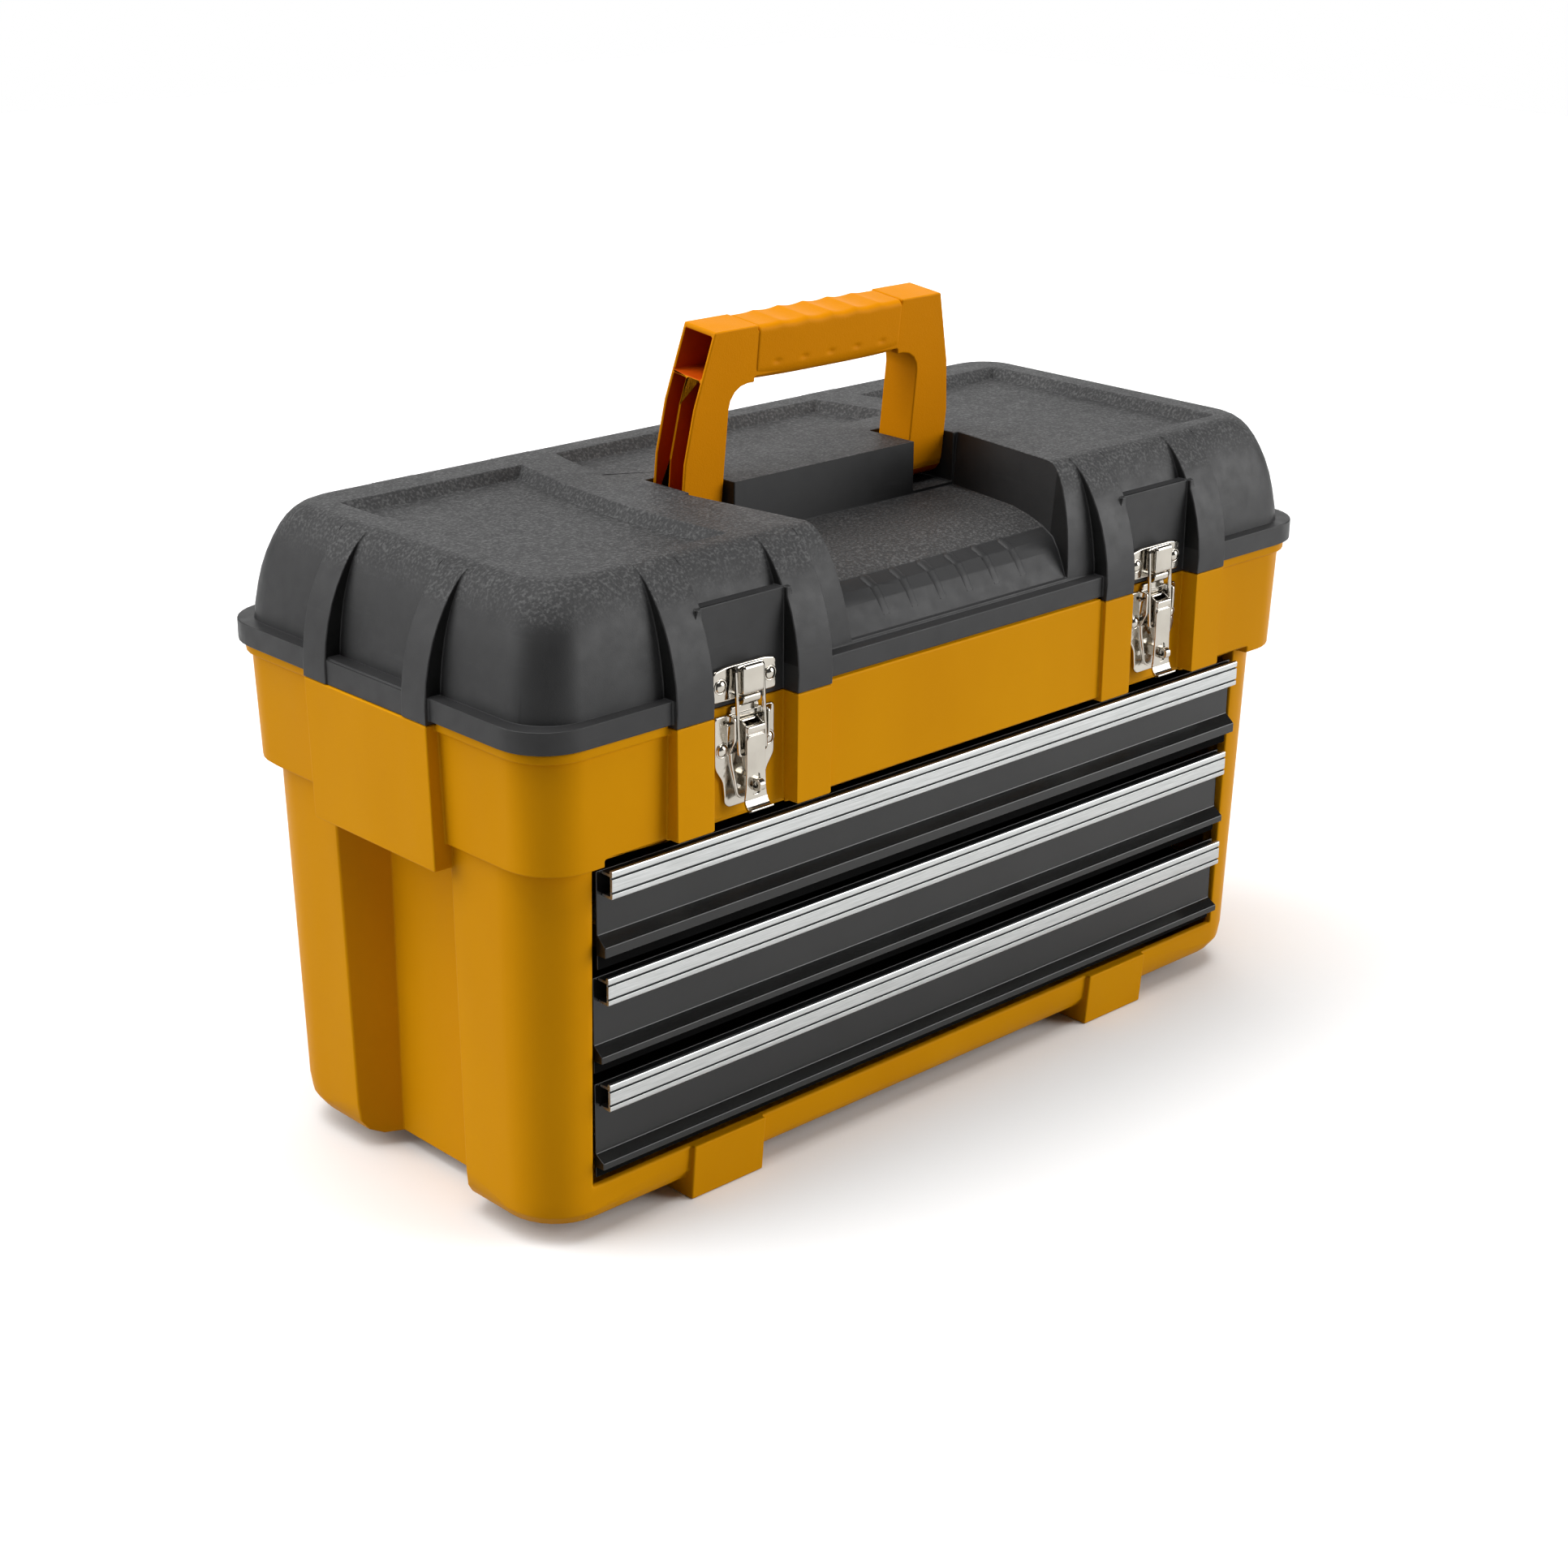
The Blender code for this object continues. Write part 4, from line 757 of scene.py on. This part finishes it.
def build_staple(side, x):
    """The padlock staple that stands through the lever's slot, with its eye."""
    ring = [(-0.1230, 0.2240), (-0.1350, 0.2236), (-0.1372, 0.2252)]
    ring += [(-0.1372, 0.2284), (-0.1350, 0.2300), (-0.1230, 0.2296)]
    eye = [(-0.1318, 0.2252), (-0.1350, 0.2252), (-0.1358, 0.2268), (-0.1350, 0.2284), (-0.1318, 0.2284)]
    shapes = [side_solid(x, (-0.0018, 0.0018), ring, 0.0003, 0.0024)]
    pressed_piece(f"padlock_staple_{side}", shapes, hole=side_solid(x, (-0.0030, 0.0030), eye, 0, 0.0012))


def build_rivet(node):
    """A domed rivet head inside a shallow pressed ring, turned from a profile of radius and height."""
    low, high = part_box(node)
    x, z = (low.x + high.x) / 2, (low.z + high.z) / 2
    ring = [(0.0040, -0.0008), (0.0040, 0.0001), (0.0038, 0.0004), (0.0035, 0.0004), (0.0033, 0.0001)]
    dome = [(0.0032, 0.0004), (0.0029, 0.0009), (0.0024, 0.0013)]
    dome += [(0.0017, 0.0016), (0.0009, 0.0018), (0.0001, 0.00185)]
    around = 28
    turns = [2 * pi * k / around for k in range(around)]
    rings = []
    for radius, height in ring + dome:
        rings.append([(x + radius * cos(turn), PLATE[0] - height, z + radius * sin(turn)) for turn in turns])
    shown_piece(node, lofted(rings))


# Floor, light and camera


def link_light(name, kind):
    """A new light in the scene, as its object and its settings."""
    lamp = bpy.data.lights.new(name, kind)
    obj = bpy.data.objects.new(name, lamp)
    bpy.context.scene.collection.objects.link(obj)
    return obj, lamp


def facing(direction):
    """The rotation of a lamp that shines in a direction."""
    return Vector(direction).to_track_quat("-Z", "Y").to_euler()


def area_light(name, at, target, size, energy):
    """A rectangular card of light."""
    obj, lamp = link_light(name, "AREA")
    lamp.shape = "RECTANGLE"
    lamp.size, lamp.size_y = size
    lamp.energy = energy
    obj.location = at
    obj.rotation_euler = facing(Vector(target) - Vector(at))


def sun_light(name, towards, strength, angle):
    """A very wide sun, which lights the whole floor evenly."""
    obj, lamp = link_light(name, "SUN")
    lamp.energy = strength
    lamp.angle = radians(angle)
    obj.rotation_euler = facing(-Vector(towards))


def build_floor():
    """A pale floor just under the feet, which throws back less light than it shows."""
    bm = bmesh.new()
    bmesh.ops.create_grid(bm, x_segments=1, y_segments=1, size=4)
    mesh = bpy.data.meshes.new("floor")
    bm.to_mesh(mesh)
    bm.free()
    floor = bpy.data.objects.new("floor", mesh)
    floor.location = (0, 0, -0.0002)
    bpy.context.scene.collection.objects.link(floor)
    made, tree, shader = new_material("floor_paint", specular=0.1)
    shader.inputs["Roughness"].default_value = 0.9
    bounced = add(tree, "ShaderNodeLightPath").outputs["Is Diffuse Ray"]
    paint = ramp(tree, bounced, [(0.0, (0.90, 0.90, 0.90)), (1.0, (0.36, 0.36, 0.36))])
    tree.links.new(paint, shader.inputs["Base Color"])
    mesh.materials.append(made)
    floor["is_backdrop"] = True


def build_lights():
    """Soft light from three wide suns and a card behind, in a white studio that is itself dim."""
    world = bpy.data.worlds.new("studio")
    world.use_nodes = True
    bpy.context.scene.world = world
    tree = world.node_tree
    background = tree.nodes["Background"]
    seen = add(tree, "ShaderNodeLightPath").outputs["Is Camera Ray"]
    tree.links.new(mapped(tree, seen, (0, 1), (0.075, 1.0)), background.inputs["Strength"])
    background.inputs["Color"].default_value = (1, 1, 1, 1)
    sun_light("top", (-0.10, 0.05, 1.0), 2.65, 52)
    sun_light("left", (-1.0, 0.75, 0.70), 2.35, 55)
    sun_light("right", (1.0, -0.98, 0.42), 2.5, 42)
    area_light("back_card", (2.0, 2.2, 1.0), (0, 0, 0.25), (3.2, 1.9), 26)


def build_camera():
    lens = bpy.data.cameras.new("camera")
    lens.lens = CAMERA_LENS
    lens.sensor_width = CAMERA_SENSOR
    camera = bpy.data.objects.new("camera", lens)
    bpy.context.scene.collection.objects.link(camera)
    axes = Matrix((CAMERA_RIGHT, CAMERA_UP, -CAMERA_FORWARD)).transposed()
    camera.location = CAMERA_AT
    camera.rotation_euler = axes.to_euler()
    bpy.context.scene.camera = camera


# The whole scene

refined("body_shell", 0.0010, triangulate=True)
lid = refined("lid_shell", 0.0007, triangulate=True)
unite(lid, [finger_rib(x) for x in FINGER_RIBS_AT], at=1)
build_handle_frame()
build_grip()
for number in (1, 2, 3):
    build_front(number)
    build_pull(number)
    refined(f"drawer_{number}_pan", 0.0003, 2)
for side in ("left", "right"):
    low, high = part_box(f"latch_base_{side}")
    middle = (low.x + high.x) / 2
    build_keeper(side, middle)
    build_latch_base(side, middle)
    build_latch_lever(side, middle)
    build_staple(side, middle)
    for number in (1, 2):
        build_rivet(f"base_rivet_{side}_{number}")
        build_rivet(f"keeper_rivet_{side}_{number}")
refined("tray_shell", 0.0006)
refined("tray_handle", 0.0008)

for node, obj in NODES.items():
    if not obj.hide_render:
        for material_slot in obj.material_slots:
            material_slot.material = MATERIALS[SLOT_OF[node]]

build_floor()
build_lights()
build_camera()
bpy.context.scene.view_settings.view_transform = "Standard"

low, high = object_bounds()
